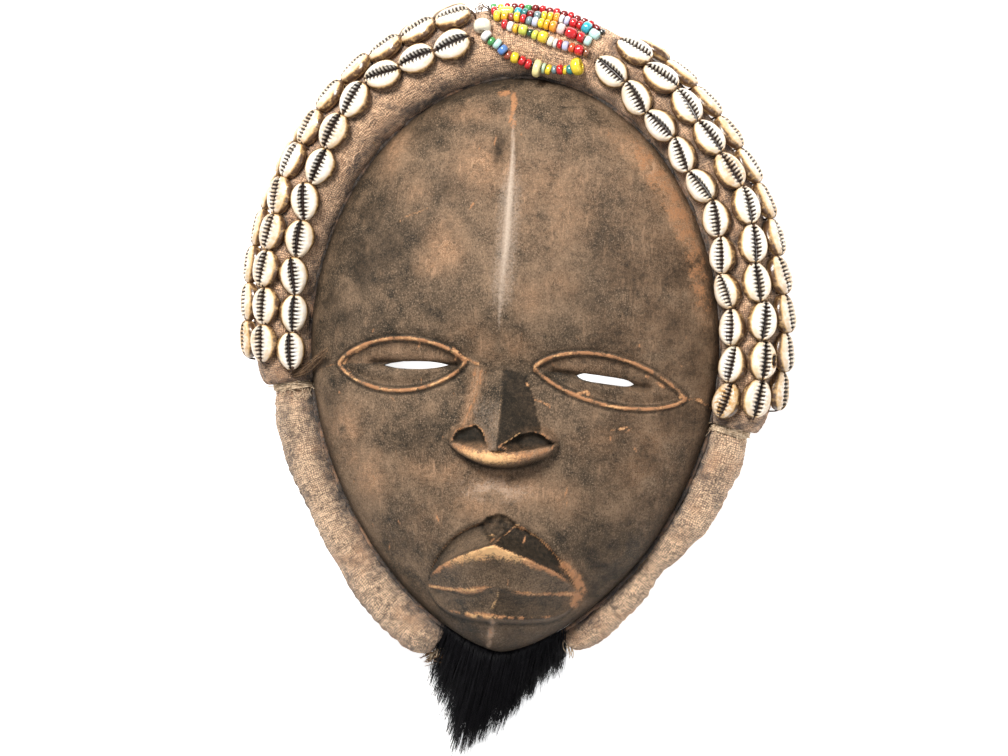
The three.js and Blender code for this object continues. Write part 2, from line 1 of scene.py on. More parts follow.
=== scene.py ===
"""A carved wooden face mask with a shell-sewn cloth roll, lying face up on a pale table.

Forms are worked out in millimetres: the origin is on the table under the middle of the wooden face, +X
towards the viewer's right, +Y towards the crown, +Z up. put_in_frame() turns them into metres.
"""
import math

import bpy
import numpy as np
from mathutils import Matrix, Vector


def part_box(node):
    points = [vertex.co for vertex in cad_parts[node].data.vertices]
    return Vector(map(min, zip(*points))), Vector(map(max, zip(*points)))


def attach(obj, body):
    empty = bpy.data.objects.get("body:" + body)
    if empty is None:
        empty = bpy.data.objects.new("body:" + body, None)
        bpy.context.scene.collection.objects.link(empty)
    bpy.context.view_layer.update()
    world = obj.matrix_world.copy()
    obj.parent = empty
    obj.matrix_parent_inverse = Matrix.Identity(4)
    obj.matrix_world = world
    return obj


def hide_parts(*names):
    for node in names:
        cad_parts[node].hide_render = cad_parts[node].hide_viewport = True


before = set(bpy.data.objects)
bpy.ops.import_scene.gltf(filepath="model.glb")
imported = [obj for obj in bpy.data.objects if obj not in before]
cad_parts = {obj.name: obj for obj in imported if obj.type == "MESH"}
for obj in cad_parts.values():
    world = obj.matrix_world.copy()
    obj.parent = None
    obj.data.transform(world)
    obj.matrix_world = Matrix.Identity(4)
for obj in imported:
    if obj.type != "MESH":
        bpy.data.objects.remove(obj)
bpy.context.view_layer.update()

# Camera: looks down, turned a little about the face's long axis and leant a little to one side
IMAGE_WIDTH = 1008
FOCAL_PIXELS = 2700
SENSOR_WIDTH = 36
CAMERA_DISTANCE = 1350
CAMERA_YAW = math.radians(10)
CAMERA_LEAN = math.radians(2.6)
AIM_RIGHT_OF_CENTRE = 14.7
AIM_ABOVE_CENTRE = 13

# Wooden face: egg-shaped outline, widest a little above the eyes
WOOD_HALF_WIDTH = 102.5
WOOD_TOP_Y = 142
WOOD_CHIN_Y = -142
WIDEST_Y = 11
CROWN_POWER = 1.95
JAW_POWER = 1.9
JAW_ROUNDING = 0.66

# Wooden face: depth
EDGE_Z = 16
FOREHEAD_DEPTH = 42
JAW_DEPTH = 34
DOME_POWER = 2.4
WALL = 8.5
MUZZLE = {"height": 17, "y": -100, "half_width": 44, "half_length": 38}
BROW_HOLLOW = {"depth": 4.5, "y": -8, "half_length": 17}

# Carved features; every path and polygon is a few (x, y) places
RIDGE_LINE = [(12, -0.3), (31, 0.3), (60, 1.5), (99, 1.4), (124, -0.8), (133, -2.5)]
EYES = [
    {
        "inner": (-17.5, 0.6),
        "outer": (-83, -3),
        "up": 12,
        "down": 13.5,
        "slit": {"x": -43.4, "y": -2, "half_length": 17, "half_height": 1.9, "tilt": 2.6, "blunt": 2.6},
        "groove": [(-64.5, -1.6), (-22, -1.2)],
        "strokes": [
            ([(-83, -2.6), (-88, -4), (-97.5, -7.9)], 0.8, 0.35),
            ([(-80.5, -3), (-76.5, 1.6), (-67, 6.6)], 0.7, 0.9),
            ([(-23.4, 6.7), (-17.5, 2.6), (-10.7, 0)], 0.8, 0.9),
            ([(-23.4, 7.2), (-20.6, 5.2), (-22.6, 1.2)], 0.8, 0.6),
        ],
    },
    {
        "inner": (17, -0.6),
        "outer": (88, -12.6),
        "up": 13.3,
        "down": 10.6,
        "slit": {"x": 49.8, "y": -5, "half_length": 14, "half_height": 1.9, "tilt": -6, "blunt": 6},
        "groove": [(26, -2), (70.5, -8)],
        "strokes": [
            ([(86, -11.6), (94.8, -12.8), (99.8, -16.4)], 0.9, 1.0),
            ([(17, 1.6), (16.8, -1.8)], 0.8, 1.0),
            ([(37.9, -12.4), (41.7, -10.8), (44.6, -13.8)], 0.9, 0.9),
            ([(70, -2.2), (78.5, -7.2)], 0.8, 0.8),
        ],
    },
]
NOSE = {"tip": -44, "root_rise": 1.5, "tip_rise": 20}
# Lines down the nose as (y, x): its crease, the outer edges of its two planes and their feet
NOSE_LINES = {
    "crease": [(-40, 3.1), (-22, 2.6), (-2, 1.7)],
    "left_edge": [(-30, -11), (-23, -11.8), (-14, -10.4), (-6, -8.8)],
    "left_foot": [(-31, -20.8), (-25, -17.6), (-17, -15.3), (-9, -13.6), (-2, -11.5)],
    "right_edge": [(-30.5, 22), (-24.5, 19.6), (-12.7, 16.2), (-4.7, 12.4)],
    "right_foot": [(-30.5, 25.5), (-24.5, 22.8), (-12.7, 18.8), (-4.7, 14.4)],
}
NOSTRILS = [
    [(-21.4, -38), (-18.7, -32.4), (-10.2, -29.2), (-6, -31.8), (-1.5, -40.3), (-11.9, -39.4)],
    [(4.6, -38.5), (11.7, -32.9), (18.3, -31.2), (23.2, -32.4), (28.1, -36.2), (27.5, -40.3), (12, -40.3)],
]
WINGS = [(-11.5, -37, -14), (17.5, -36.5, 14)]
WING_RADII = (11, 7.2, 8)
NOSE_RIM = {"x": 3.2, "half_width": 24, "low": -44.2, "curl": 5.2, "rise": 12.5, "radius": 3.6}
# The mouth's middle and half width, and how far the cut round it and both lips reach
MOUTH = {"x": 3, "y": -109.3, "half_width": 37.3, "contour": 33.5, "upper": 23.6, "lower": 14}
# How far the lips stand out of the face, and how deep the cut round them lies
LIP_PUSH = 10
MOUTH_RECESS = 2.4
PHILTRUM = [(-5.9, -77.6), (-1.8, -73.1), (2.9, -71.2), (7.8, -72.6), (12, -75.8), (2, -85.6)]
LIP_KEEL = [(4.7, -107.9), (3.6, -112), (0.6, -118)]
MOUTH_CORNER = [(34.5, -95.5), (39.5, -101), (41.5, -107.5), (38, -114.5)]
CHIN_RIDGE = [(-0.3, -125), (-4.6, -138.9)]
# Rubbed and sooty places: middle, reach both ways and strength
RUBBED = [
    (-61, 103, 7, 11, 0.7), (-13, 95, 12, 10, 1.0), (-29, 57, 7, 9, 1.0), (-36, 47, 6, 5, 0.7),
    (-23, 122, 16, 4, 0.45), (-49, 83, 8, 7, 0.5), (-72, 108, 4, 8, 0.5), (25, 80, 20, 22, 0.45),
    (60, 107, 14, 18, 0.4), (86, 70, 5, 20, 0.9), (92, 44, 5, 22, 0.6), (-79, -37, 7, 10, 1.0),
    (-64, -57, 7, 9, 0.9), (-73, -48, 5, 6, 0.8), (-28, -52, 18, 7, 0.5), (3, -58, 17, 7, 1.0),
    (-6, -68, 14, 6, 0.7), (49, -34, 11, 7, 0.6), (74, -32, 9, 10, 0.9), (68, -48, 10, 9, 0.8),
    (32, -63, 10, 7, 0.55), (0, 9, 11, 5, 0.8), (-15, 16, 9, 5, 0.4), (-32, -77, 9, 9, 0.45),
    (14, 32, 7, 8, 0.4), (94, 18, 4, 15, 0.4), (28, 40, 8, 6, 0.45),
]
SOOTY = [
    (-45, 112, 7, 4, 0.6), (-6, 103, 3, 7, 0.9), (-30, 85, 6, 6, 0.6), (-68, 53, 20, 26, 0.7),
    (-83, 28, 10, 17, 0.75), (47, 33, 20, 12, 0.45), (71, 20, 15, 9, 0.5), (29, 20, 11, 6, 0.45),
    (-30, 24, 12, 5, 0.45), (-87, -21, 5, 13, 0.5), (-38, -38, 14, 7, 0.4), (91, -22, 7, 13, 0.7),
    (58, -64, 24, 22, 0.45), (44, -30, 20, 9, 0.35), (78, -67, 11, 17, 0.6), (59, -95, 11, 13, 0.6),
    (-48, -90, 9, 10, 0.5), (-34, -120, 7, 6, 0.5), (30, -126, 11, 5, 0.7), (58, -24, 7, 4, 0.3),
    (-51, 44, 10, 7, 0.45), (64, 73, 12, 15, 0.35),
]

# Cloth rolls round the edge; each list of radii runs evenly from one end to the other
ROLL_GAP = 0.5
ROLL_LIFT = 0.6
ROLL_END_DEGREES = 4.5
WEAVE_PITCH = 1.05
CLOTH_LOWEST = 0.25
# About how far the head roll runs from the middle of the face
ROLL_DISTANCE = 115
HEAD_ROLL = {
    "from": -96.8,
    "to": 103.2,
    "necks": (0.84, 0.84),
    "radii": [13.2, 14.8, 15.9, 16.8, 17.2, 17, 15.9, 14.9, 14.7, 14.7, 14.5, 13.8, 12.2],
}
CHEEK_ROLL_LEFT = {
    "from": -98.7,
    "to": -168.5,
    "necks": (0.9, 0.6),
    "radii": [10.6, 11.6, 11.5, 10.8, 10.6, 10.8, 11.3, 11.2, 10.8],
}
CHEEK_ROLL_RIGHT = {
    "from": 105.1,
    "to": 168,
    "necks": (0.92, 0.6),
    "radii": [9.6, 10.2, 9.8, 9.2, 7.8, 6.1, 7.2, 7.6, 7],
}
# The gathered necks between the rolls: from and to in degrees, and the radius in mm
COLLARS = {"left": (-96.7, -98.8, 10.6), "right": (103.1, 105.2, 9.6)}

# Cowrie shells in three rows up each side; a lean is the angle from straight up towards the outside
SHELL = {"width": 14.4, "height": 6.4, "sink": 0.7, "widest_at": 0.42}
# How far each shell laps over the next
SHELL_LAP = 0.9
LEFT_SIDE = {
    "name": "left",
    "leans": [-24, -30, -24, -20, -16, -5, -4, 11, 16, 6, 4],
    "row_step": 45,
    "rows": [("inner", -88.5, -11, 11), ("middle", -86.5, -10, 12), ("outer", -85.5, -11, 12)],
}
RIGHT_SIDE = {
    "name": "right",
    "leans": [-4, -16, -20, -22, -16, -22, -34, -28, -27, -24, -24],
    "row_step": 50,
    "rows": [("inner", 16.2, 96.4, 11), ("middle", 17.4, 94.5, 11), ("outer", 19, 92, 11)],
}

# Hair at the chin: roots along the rim, tips of the locks
BEARD = {"from": -170, "to": -191, "strands": 2900, "locks": 46}
BEARD_TIPS = [(-37, -157), (-30.5, -171), (-22.5, -195.5), (-10, -187), (2, -176), (13, -163), (31, -148)]


def mix(a, b, t):
    return a + (b - a) * t


def smooth(start, end, value):
    t = np.clip((value - start) / (end - start), 0, 1)
    return t * t * (3 - 2 * t)


def hump(value, width):
    """A soft hump of height 1 at zero."""
    return np.exp(-((value / width) ** 2))


def jitter(n, salt):
    """A number from -1 to 1 that is always the same for shell number n and that salt."""
    return 2 * (math.sin(n * 12.9898 + salt * 78.233) * 43758.5453 % 1) - 1


def around_zero(degrees):
    """The same angle from -180 to 180."""
    return (degrees + 180) % 360 - 180


def polar(radius, degrees, z=0.0):
    """Points at an angle from the crown, clockwise as seen from above."""
    turn = np.radians(degrees)
    return np.stack([radius * np.sin(turn), radius * np.cos(turn), z + 0 * radius], axis=-1)


def run_along(line):
    """Distance from a line's first point to each of its points."""
    return np.concatenate([[0], np.cumsum(np.linalg.norm(np.diff(line, axis=0), axis=1))])


# Cells each way before the noise repeats, and a shift that keeps all places positive
NOISE_CELLS = 64
NOISE_SHIFT = 1000


def noise2(x, y, size, seed):
    """Smooth repeatable noise from -1 to 1, in cells of the given size in mm."""
    cells = np.random.default_rng(seed).uniform(-1, 1, (NOISE_CELLS, NOISE_CELLS))
    u = np.asarray(x) / size + NOISE_SHIFT
    v = np.asarray(y) / size + NOISE_SHIFT
    i = np.floor(u).astype(int)
    j = np.floor(v).astype(int)
    fu = smooth(0, 1, u - i)
    fv = smooth(0, 1, v - j)
    i0, i1, j0, j1 = (k % NOISE_CELLS for k in (i, i + 1, j, j + 1))
    near = mix(cells[i0, j0], cells[i1, j0], fu)
    far = mix(cells[i0, j1], cells[i1, j1], fu)
    return mix(near, far, fv)


def half_width_at(y):
    rise = np.clip((y - WIDEST_Y) / (WOOD_TOP_Y - WIDEST_Y), 0, 1)
    drop = np.clip((WIDEST_Y - y) / (WIDEST_Y - WOOD_CHIN_Y), 0, 1)
    above = (1 - rise**CROWN_POWER) ** (1 / CROWN_POWER)
    below = (1 - drop**JAW_POWER) ** JAW_ROUNDING
    return WOOD_HALF_WIDTH * np.where(y >= WIDEST_Y, above, below)


def measure_rim():
    """Distance from the middle of the face to the rim for every fifth of a degree."""
    degrees = np.arange(-180, 180.1, 0.2)
    sin = np.sin(np.radians(degrees))
    cos = np.cos(np.radians(degrees))
    inside = np.zeros_like(degrees)
    outside = np.full_like(degrees, 160)
    for _ in range(40):
        r = (inside + outside) / 2
        y = r * cos
        within = (y < WOOD_TOP_Y) & (y > WOOD_CHIN_Y) & (np.abs(r * sin) < half_width_at(y))
        inside = np.where(within, r, inside)
        outside = np.where(within, outside, r)
    return degrees, inside


RIM_DEGREES, RIM_RADII = measure_rim()


def rim_radius(degrees):
    return np.interp(around_zero(np.asarray(degrees)), RIM_DEGREES, RIM_RADII)


def rim_point(degrees):
    return polar(rim_radius(degrees), degrees)


def unit(vectors):
    return vectors / np.linalg.norm(vectors, axis=-1, keepdims=True)


def rim_normal(degrees):
    reach = 1.5
    degrees = np.asarray(degrees, dtype=float)
    tangent = unit(rim_point(degrees + reach) - rim_point(degrees - reach))
    return np.stack([-tangent[..., 1], tangent[..., 0], tangent[..., 2]], axis=-1)


def face_height(x, y):
    """Height of the plain face, before nose, lips and rims are added."""
    rho = np.minimum(1, np.hypot(x, y) / rim_radius(np.degrees(np.arctan2(x, y))))
    depth = mix(JAW_DEPTH, FOREHEAD_DEPTH, smooth(-60, 40, y))
    dome = depth * np.sqrt(1 - rho**DOME_POWER)
    muzzle = MUZZLE["height"] * hump(x, MUZZLE["half_width"])
    muzzle = muzzle * hump(y - MUZZLE["y"], MUZZLE["half_length"])
    hollow = BROW_HOLLOW["depth"] * hump(y - BROW_HOLLOW["y"], BROW_HOLLOW["half_length"])
    return EDGE_Z + dome + (1 - rho**4) * (muzzle - hollow)


def value_along(values, t):
    """The value of an evenly spaced list at t from 0 to 1, eased between its entries."""
    values = np.asarray(values, dtype=float)
    place = np.clip(t, 0, 1) * (len(values) - 1)
    i = np.minimum(np.floor(place).astype(int), len(values) - 2)
    return mix(values[i], values[i + 1], smooth(0, 1, place - i))


def roll_radius(form, degrees):
    to_end = np.minimum(np.abs(degrees - form["from"]), np.abs(form["to"] - degrees))
    rounding = np.sqrt(1 - (1 - np.clip(to_end / ROLL_END_DEGREES, 0, 1)) ** 2)
    t = (degrees - form["from"]) / (form["to"] - form["from"])
    neck = np.where(t < 0.5, form["necks"][0], form["necks"][1])
    return value_along(form["radii"], t) * mix(neck, 1, rounding)


def leaning(degrees, lean):
    """Direction straight out of a roll at a lean in degrees."""
    out = rim_normal(degrees) * np.sin(np.radians(lean))[..., None]
    out[..., 2] = np.cos(np.radians(lean))
    return out


def on_roll(degrees, radius, lean, out):
    """A point beside the middle line of a roll of that radius, out along a lean in degrees."""
    turn = np.radians(lean)
    side = np.asarray(radius + ROLL_GAP + out * np.sin(turn))[..., None]
    point = rim_point(degrees) + rim_normal(degrees) * side
    point[..., 2] = radius + ROLL_LIFT + out * np.cos(turn)
    return point


def put_in_frame(points):
    """From millimetres about the middle of the wood to the frame's metres."""
    low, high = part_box("wood_face")
    return np.asarray(points) / 1000 + np.array(low + high) / 2 * (1, 1, 0)


def add_piece(name, points, faces, material, replaces=(), slot=None, values=None, sharp=None):
    """A mesh piece of the mask. values holds numbers per point that its material reads by name."""
    mesh = bpy.data.meshes.new(name)
    mesh.from_pydata(put_in_frame(points).tolist(), [], faces)
    mesh.materials.append(material)
    mesh.shade_smooth()
    if sharp is not None:
        mesh.set_sharp_from_angle(angle=math.radians(sharp))
    for key, numbers in (values or {}).items():
        numbers = np.asarray(numbers, dtype=np.float32)
        kind, field = ("FLOAT", "value") if numbers.ndim == 1 else ("FLOAT_VECTOR", "vector")
        mesh.attributes.new(key, kind, "POINT").data.foreach_set(field, numbers.ravel())
    mesh.update()
    piece = bpy.data.objects.new(name, mesh)
    bpy.context.scene.collection.objects.link(piece)
    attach(piece, "root")
    if replaces:
        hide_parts(*replaces)
    return piece


def grid_faces(rows, columns, wrap=False):
    """Quads over a grid of points, row by row; wrap joins the last column to the first."""
    i = np.arange(rows - 1)[:, None]
    j = np.arange(columns if wrap else columns - 1)[None, :]
    k = (j + 1) % columns
    low, high = i * columns, (i + 1) * columns
    return np.stack([low + j, low + k, high + k, high + j], axis=-1).reshape(-1, 4).tolist()


def closed_faces(rows, columns):
    """Quads round a grid of rings, with a flat end on its first and on its last ring."""
    ends = [list(range(columns))[::-1], list(range((rows - 1) * columns, rows * columns))]
    return grid_faces(rows, columns, wrap=True) + ends


class Batch:
    """Gathers small forms into one piece, with their values."""

    def __init__(self):
        self.points = []
        self.faces = []
        self.values = {}
        self.count = 0

    def add(self, points, faces, **values):
        points = np.asarray(points).reshape(-1, 3)
        self.points.append(points)
        self.faces += [[k + self.count for k in face] for face in faces]
        for key, value in values.items():
            value = np.asarray(value, dtype=float)
            if value.ndim == 0:
                value = np.full(len(points), value)
            elif value.ndim == 1 and len(value) == 3 and len(points) != 3:
                value = np.tile(value, (len(points), 1))
            self.values.setdefault(key, []).append(value)
        self.count += len(points)

    def piece(self, name, material, **options):
        values = {key: np.concatenate(parts) for key, parts in self.values.items()}
        return add_piece(name, np.concatenate(self.points), self.faces, material, values=values, **options)


def tube(path, radii, sides):
    """Points and faces of a closed round tube along a path."""
    path = np.asarray(path, dtype=float)
    steps = len(path)
    radii = np.broadcast_to(np.asarray(radii, dtype=float), (steps,))
    along = unit(np.gradient(path, axis=0) + 1e-9)
    across = np.cross(along, [0.0, 0.0, 1.0])
    flat = np.linalg.norm(across, axis=1) < 1e-3
    across[flat] = np.cross(along[flat], [0.0, 1.0, 0.0])
    across = unit(across)
    other = np.cross(across, along)
    turn = np.arange(sides) / sides * 2 * np.pi
    cos, sin = np.cos(turn)[:, None], np.sin(turn)[:, None]
    ring = cos * across[:, None, :] + sin * other[:, None, :]
    points = (path[:, None, :] + ring * radii[:, None, None]).reshape(-1, 3)
    return points, closed_faces(steps, sides)


def bent(start, pull, end, t):
    """Points on a bow from start to end, drawn towards a third point."""
    return (1 - t) ** 2 * start + 2 * t * (1 - t) * pull + t**2 * end


def loose_end(rng, start, spread, pull, reach, steps, curl=1):
    """A short stray strand from a point, pulled a little to one side."""
    drift = unit(rng.normal(0, 1, 3) * spread + pull) * rng.uniform(*reach)
    return start + drift * np.linspace(0, 1, steps)[:, None] ** curl


class Paint:
    """A procedural material built node by node round one principled shader."""

    def __init__(self, name, roughness=0.5, **constants):
        self.material = bpy.data.materials.new(name)
        self.material.use_nodes = True
        self.tree = self.material.node_tree
        self.shader = self.tree.nodes["Principled BSDF"]
        self.shader.inputs["Roughness"].default_value = roughness
        for key, value in constants.items():
            self.shader.inputs[key.replace("_", " ")].default_value = value
        self.place = self.node("ShaderNodeTexCoord").outputs["Object"]

    def node(self, kind, **settings):
        made = self.tree.nodes.new(kind)
        for key, value in settings.items():
            setattr(made, key, value)
        return made

    def feed(self, socket, value):
        if hasattr(value, "is_linked"):
            self.tree.links.new(value, socket)
        elif isinstance(value, tuple) and len(value) == 3 and len(socket.default_value) == 4:
            socket.default_value = (*value, 1)
        else:
            socket.default_value = value

    def value(self, name, output="Fac"):
        """The numbers that a piece keeps per point under that name."""
        return self.node("ShaderNodeAttribute", attribute_name=name).outputs[output]

    def math(self, operation, a, b=0.0):
        made = self.node("ShaderNodeMath", operation=operation)
        self.feed(made.inputs[0], a)
        self.feed(made.inputs[1], b)
        return made.outputs[0]

    def times(self, a, b):
        return self.math("MULTIPLY", a, b)

    def stretch(self, place, scale):
        made = self.node("ShaderNodeMapping")
        self.feed(made.inputs["Vector"], place)
        made.inputs["Scale"].default_value = scale
        return made.outputs[0]

    def noise(self, scale, detail=3.0, rough=0.55, place=None, distortion=0.0):
        made = self.node("ShaderNodeTexNoise")
        self.feed(made.inputs["Vector"], self.place if place is None else place)
        settings = {"Scale": scale, "Detail": detail, "Roughness": rough, "Distortion": distortion}
        for key, number in settings.items():
            made.inputs[key].default_value = number
        return made.outputs["Fac"]

    def span(self, value, low, high, to_low=0.0, to_high=1.0):
        """The value's range from low to high, spread to another range."""
        made = self.node("ShaderNodeMapRange")
        self.feed(made.inputs["Value"], value)
        for place, number in enumerate((low, high, to_low, to_high), 1):
            made.inputs[place].default_value = number
        return made.outputs["Result"]

    def mixed(self, factor, a, b, blend="MIX"):
        made = self.node("ShaderNodeMix", data_type="RGBA", blend_type=blend)
        self.feed(made.inputs["Factor"], factor)
        self.feed(made.inputs[6], a)
        self.feed(made.inputs[7], b)
        return made.outputs[2]

    def weighed(self, *parts):
        """The sum of values, each times its own weight."""
        total = 0.0
        for value, weight in parts:
            total = self.math("ADD", total, self.times(value, weight))
        return total

    def finish(self, colour, *bumps):
        """Gives the shader its colour, and bumps over one another: a height and its depth in metres."""
        self.feed(self.shader.inputs["Base Color"], colour)
        normal = None
        for height, depth in bumps:
            made = self.node("ShaderNodeBump")
            made.inputs["Distance"].default_value = depth
            self.feed(made.inputs["Height"], height)
            if normal is not None:
                self.feed(made.inputs["Normal"], normal)
            normal = made.outputs[0]
        if normal is not None:
            self.feed(self.shader.inputs["Normal"], normal)
        return self.material


# Colours, each as red, green and blue shares
WOOD_TONES = {
    "dark": (0.034, 0.026, 0.017),
    "light": (0.235, 0.155, 0.096),
    "light_grain": (0.43, 0.295, 0.195),
    "dark_grain": (0.02, 0.015, 0.011),
    "rust": (0.34, 0.185, 0.098),
    "rust_fleck": (0.52, 0.34, 0.21),
    "scuff": (0.47, 0.29, 0.175),
    # Soot, and the painted shade laid in creases, grooves and hollows and on planes turned from the light
    "soot": (0.01, 0.008, 0.005),
    # Pale chalky wear, with painted sheen along the forehead crease and painted light on lit planes
    "chalk": (0.52, 0.41, 0.32),
    "worn": (0.42, 0.205, 0.098),
    # Pale bleached wear, with painted highlights on rims and edges facing the light
    "bleach": (0.8, 0.48, 0.225),
}
CLOTH_MARKS = {
    "blotch": (0.48, 0.25, 0.13),
    "smudge": (0.12, 0.078, 0.055),
    # Dirt, and the painted shade beside the wood and round the shells
    "dirt_and_shade": (0.06, 0.038, 0.025),
    "rust": (0.38, 0.12, 0.045),
}
SHELL_TONES = {
    "white": (0.96, 0.93, 0.87),
    "cream": (0.86, 0.76, 0.6),
    "aged": (0.52, 0.29, 0.095),
    "edge": (0.64, 0.4, 0.17),
    # A dark brown outline, partly the shell's own edge and partly painted shadow round it
    "dark_edge_and_shadow": (0.085, 0.042, 0.02),
    "slit": (0.018, 0.008, 0.005),
}


def wood_material():
    paint = Paint("carved_wood", roughness=0.5, Specular_IOR_Level=0.16)
    along = paint.stretch(paint.place, (1, 0.75, 0.9))
    mottle = paint.noise(120, 6, 0.62)
    fine = paint.noise(460, 5, 0.7)
    grain = paint.noise(1500, 4, 0.75, along)
    speckle = paint.noise(2200, 2, 0.5)
    streaks = paint.noise(420, 4, 0.75, paint.stretch(paint.place, (1, 0.15, 0.6)))
    tone = paint.weighed((paint.noise(24, 5, 0.62, distortion=0.8), 0.5), (mottle, 0.3), (fine, 0.2))
    base = paint.mixed(paint.span(tone, 0.42, 0.6), WOOD_TONES["dark"], WOOD_TONES["light"])
    base = paint.mixed(paint.span(grain, 0.53, 0.7, 0, 0.8), base, WOOD_TONES["light_grain"])
    base = paint.mixed(paint.span(grain, 0.47, 0.31, 0, 0.92), base, WOOD_TONES["dark_grain"])
    rust = paint.value("rust")
    scuffed = paint.weighed((paint.span(mottle, 0.46, 0.62), 0.35), (rust, 1.1))
    scuffed = paint.times(paint.span(streaks, 0.56, 0.65), scuffed)
    rusty = paint.times(rust, paint.span(fine, 0.34, 0.58, 0.3, 1))
    base = paint.mixed(paint.times(rusty, 0.85), base, WOOD_TONES["rust"])
    lit = paint.times(rusty, paint.span(speckle, 0.5, 0.62))
    base = paint.mixed(lit, base, WOOD_TONES["rust_fleck"])
    base = paint.mixed(paint.times(scuffed, 0.8), base, WOOD_TONES["scuff"])
    # Soot and painted shade darken the wood
    sooty = paint.times(paint.value("soot"), paint.span(fine, 0.34, 0.66, 1, 0.82))
    base = paint.mixed(sooty, base, WOOD_TONES["soot"])
    ragged = paint.math("SUBTRACT", paint.noise(900, 3, 0.7), 0.5)
    # Pale layers over the top; the chalk and bleach layers also carry painted sheen, painted light and
    # painted highlights
    layers = (("chalk", 1.0, 0.15, 1.0), ("worn", 1.6, 0.22, 0.66), ("bleach", 1.6, 0.25, 0.75))
    for name, roughly, low, high in layers:
        marked = paint.value(name)
        share = paint.span(paint.math("ADD", marked, paint.times(ragged, roughly)), low, high)
        base = paint.mixed(paint.times(share, paint.span(marked, 0.04, 0.3)), base, WOOD_TONES[name])
    paint.feed(paint.shader.inputs["Roughness"], paint.span(mottle, 0.3, 0.7, 0.42, 0.62))
    return paint.finish(base, (grain, 0.0004), (fine, 0.0006), (speckle, 0.0002))


def cloth_material(name, light, dark):
    """Coarse plain weave; the threads follow the roll by its weave value, in thread widths."""
    paint = Paint(name, roughness=0.95, Sheen_Weight=0.2, Sheen_Roughness=0.6)
    weave = paint.node("ShaderNodeSeparateXYZ")
    paint.feed(weave.inputs[0], paint.value("weave", "Vector"))
    waver = paint.span(paint.noise(140, 3), 0.2, 0.8, -1.2, 1.2)
    along, around = (
        paint.math("SINE", paint.times(paint.math("ADD", threads, waver), math.pi))
        for threads in (weave.outputs[0], weave.outputs[1])
    )
    nubs = paint.math("ABSOLUTE", paint.times(along, around))
    slubs = paint.noise(600, 4, 0.7)
    fuzz = paint.noise(2200, 2, 0.6)
    raised = paint.weighed((nubs, 0.36), (slubs, 1.15))
    base = paint.mixed(paint.span(raised, 0.58, 0.84), dark, light)
    blotch = paint.noise(48, 5, 0.7)
    base = paint.mixed(paint.span(blotch, 0.5, 0.64, 0, 0.6), base, CLOTH_MARKS["blotch"])
    smudge = paint.times(paint.span(paint.noise(85, 6, 0.8), 0.5, 0.62), 0.85)
    base = paint.mixed(paint.times(smudge, paint.span(slubs, 0.66, 0.46)), base, CLOTH_MARKS["smudge"])
    patches = paint.span(paint.noise(170, 5, 0.7), 0.3, 0.58, 0.2, 1)
    # Dirt and painted shade
    base = paint.mixed(paint.times(paint.value("dirt_and_shade"), patches), base, CLOTH_MARKS["dirt_and_shade"])
    base = paint.mixed(paint.value("tint"), base, CLOTH_MARKS["rust"])
    return paint.finish(base, (nubs, 0.0005), (slubs, 0.0009), (fuzz, 0.0004))


def twine_material(name, light, dark):
    paint = Paint(name, roughness=0.9)
    fibre = paint.noise(900, 4, 0.6, paint.stretch(paint.place, (1, 0.4, 1)))
    return paint.finish(paint.mixed(paint.span(fibre, 0.35, 0.65), dark, light), (fibre, 0.0004))


def shell_material():
    paint = Paint("cowrie_shell", roughness=0.28, Coat_Weight=0.2, Coat_Roughness=0.12)
    clouds = paint.noise(240, 4, 0.6)
    base = paint.mixed(paint.span(clouds, 0.4, 0.68), SHELL_TONES["white"], SHELL_TONES["cream"])
    patches = paint.span(paint.noise(330, 5, 0.7), 0.36, 0.6, 0.15, 1)
    base = paint.mixed(paint.times(paint.value("age"), patches), base, SHELL_TONES["aged"])
    rim = paint.times(paint.value("rim"), paint.span(paint.noise(420, 5, 0.7), 0.3, 0.56, 0.5, 1))
    base = paint.mixed(paint.span(rim, 0.02, 0.45), base, SHELL_TONES["edge"])
    # The outline dark brown, partly edge colour and partly painted shadow
    base = paint.mixed(paint.span(rim, 0.4, 0.85), base, SHELL_TONES["dark_edge_and_shadow"])
    base = paint.mixed(paint.value("stain"), base, SHELL_TONES["slit"])
    return paint.finish(base, (paint.noise(900, 3), 0.00012))


def bead_material():
    paint = Paint("glass_beads", roughness=0.14, Coat_Weight=0.8, Coat_Roughness=0.05)
    shade = paint.value("glass", "Vector")
    swirl = paint.noise(900, 4, 0.6)
    base = paint.mixed(paint.span(swirl, 0.35, 0.75, 0, 0.35), shade, (0.95, 0.92, 0.85), "SOFT_LIGHT")
    grime = paint.times(paint.value("grime"), paint.span(paint.noise(700, 3), 0.4, 0.6, 0.3, 0.9))
    base = paint.mixed(grime, base, (0.06, 0.035, 0.02))
    return paint.finish(base, (paint.noise(1200, 2), 0.0001))


def hair_material():
    paint = Paint("black_hair", roughness=0.45, Specular_IOR_Level=0.2)
    strand = paint.noise(700, 3, 0.6)
    base = paint.mixed(paint.span(strand, 0.3, 0.7), (0.003, 0.003, 0.004), (0.01, 0.009, 0.011))
    return paint.finish(base, (strand, 0.0001))


def distance_to_path(x, y, path):
    """Distance from each place to a line of points."""
    nearest = np.inf
    for (ax, ay), (bx, by) in zip(path[:-1], path[1:]):
        run_x, run_y = bx - ax, by - ay
        t = np.clip(((x - ax) * run_x + (y - ay) * run_y) / (run_x**2 + run_y**2), 0, 1)
        nearest = np.minimum(nearest, np.hypot(x - ax - t * run_x, y - ay - t * run_y))
    return nearest


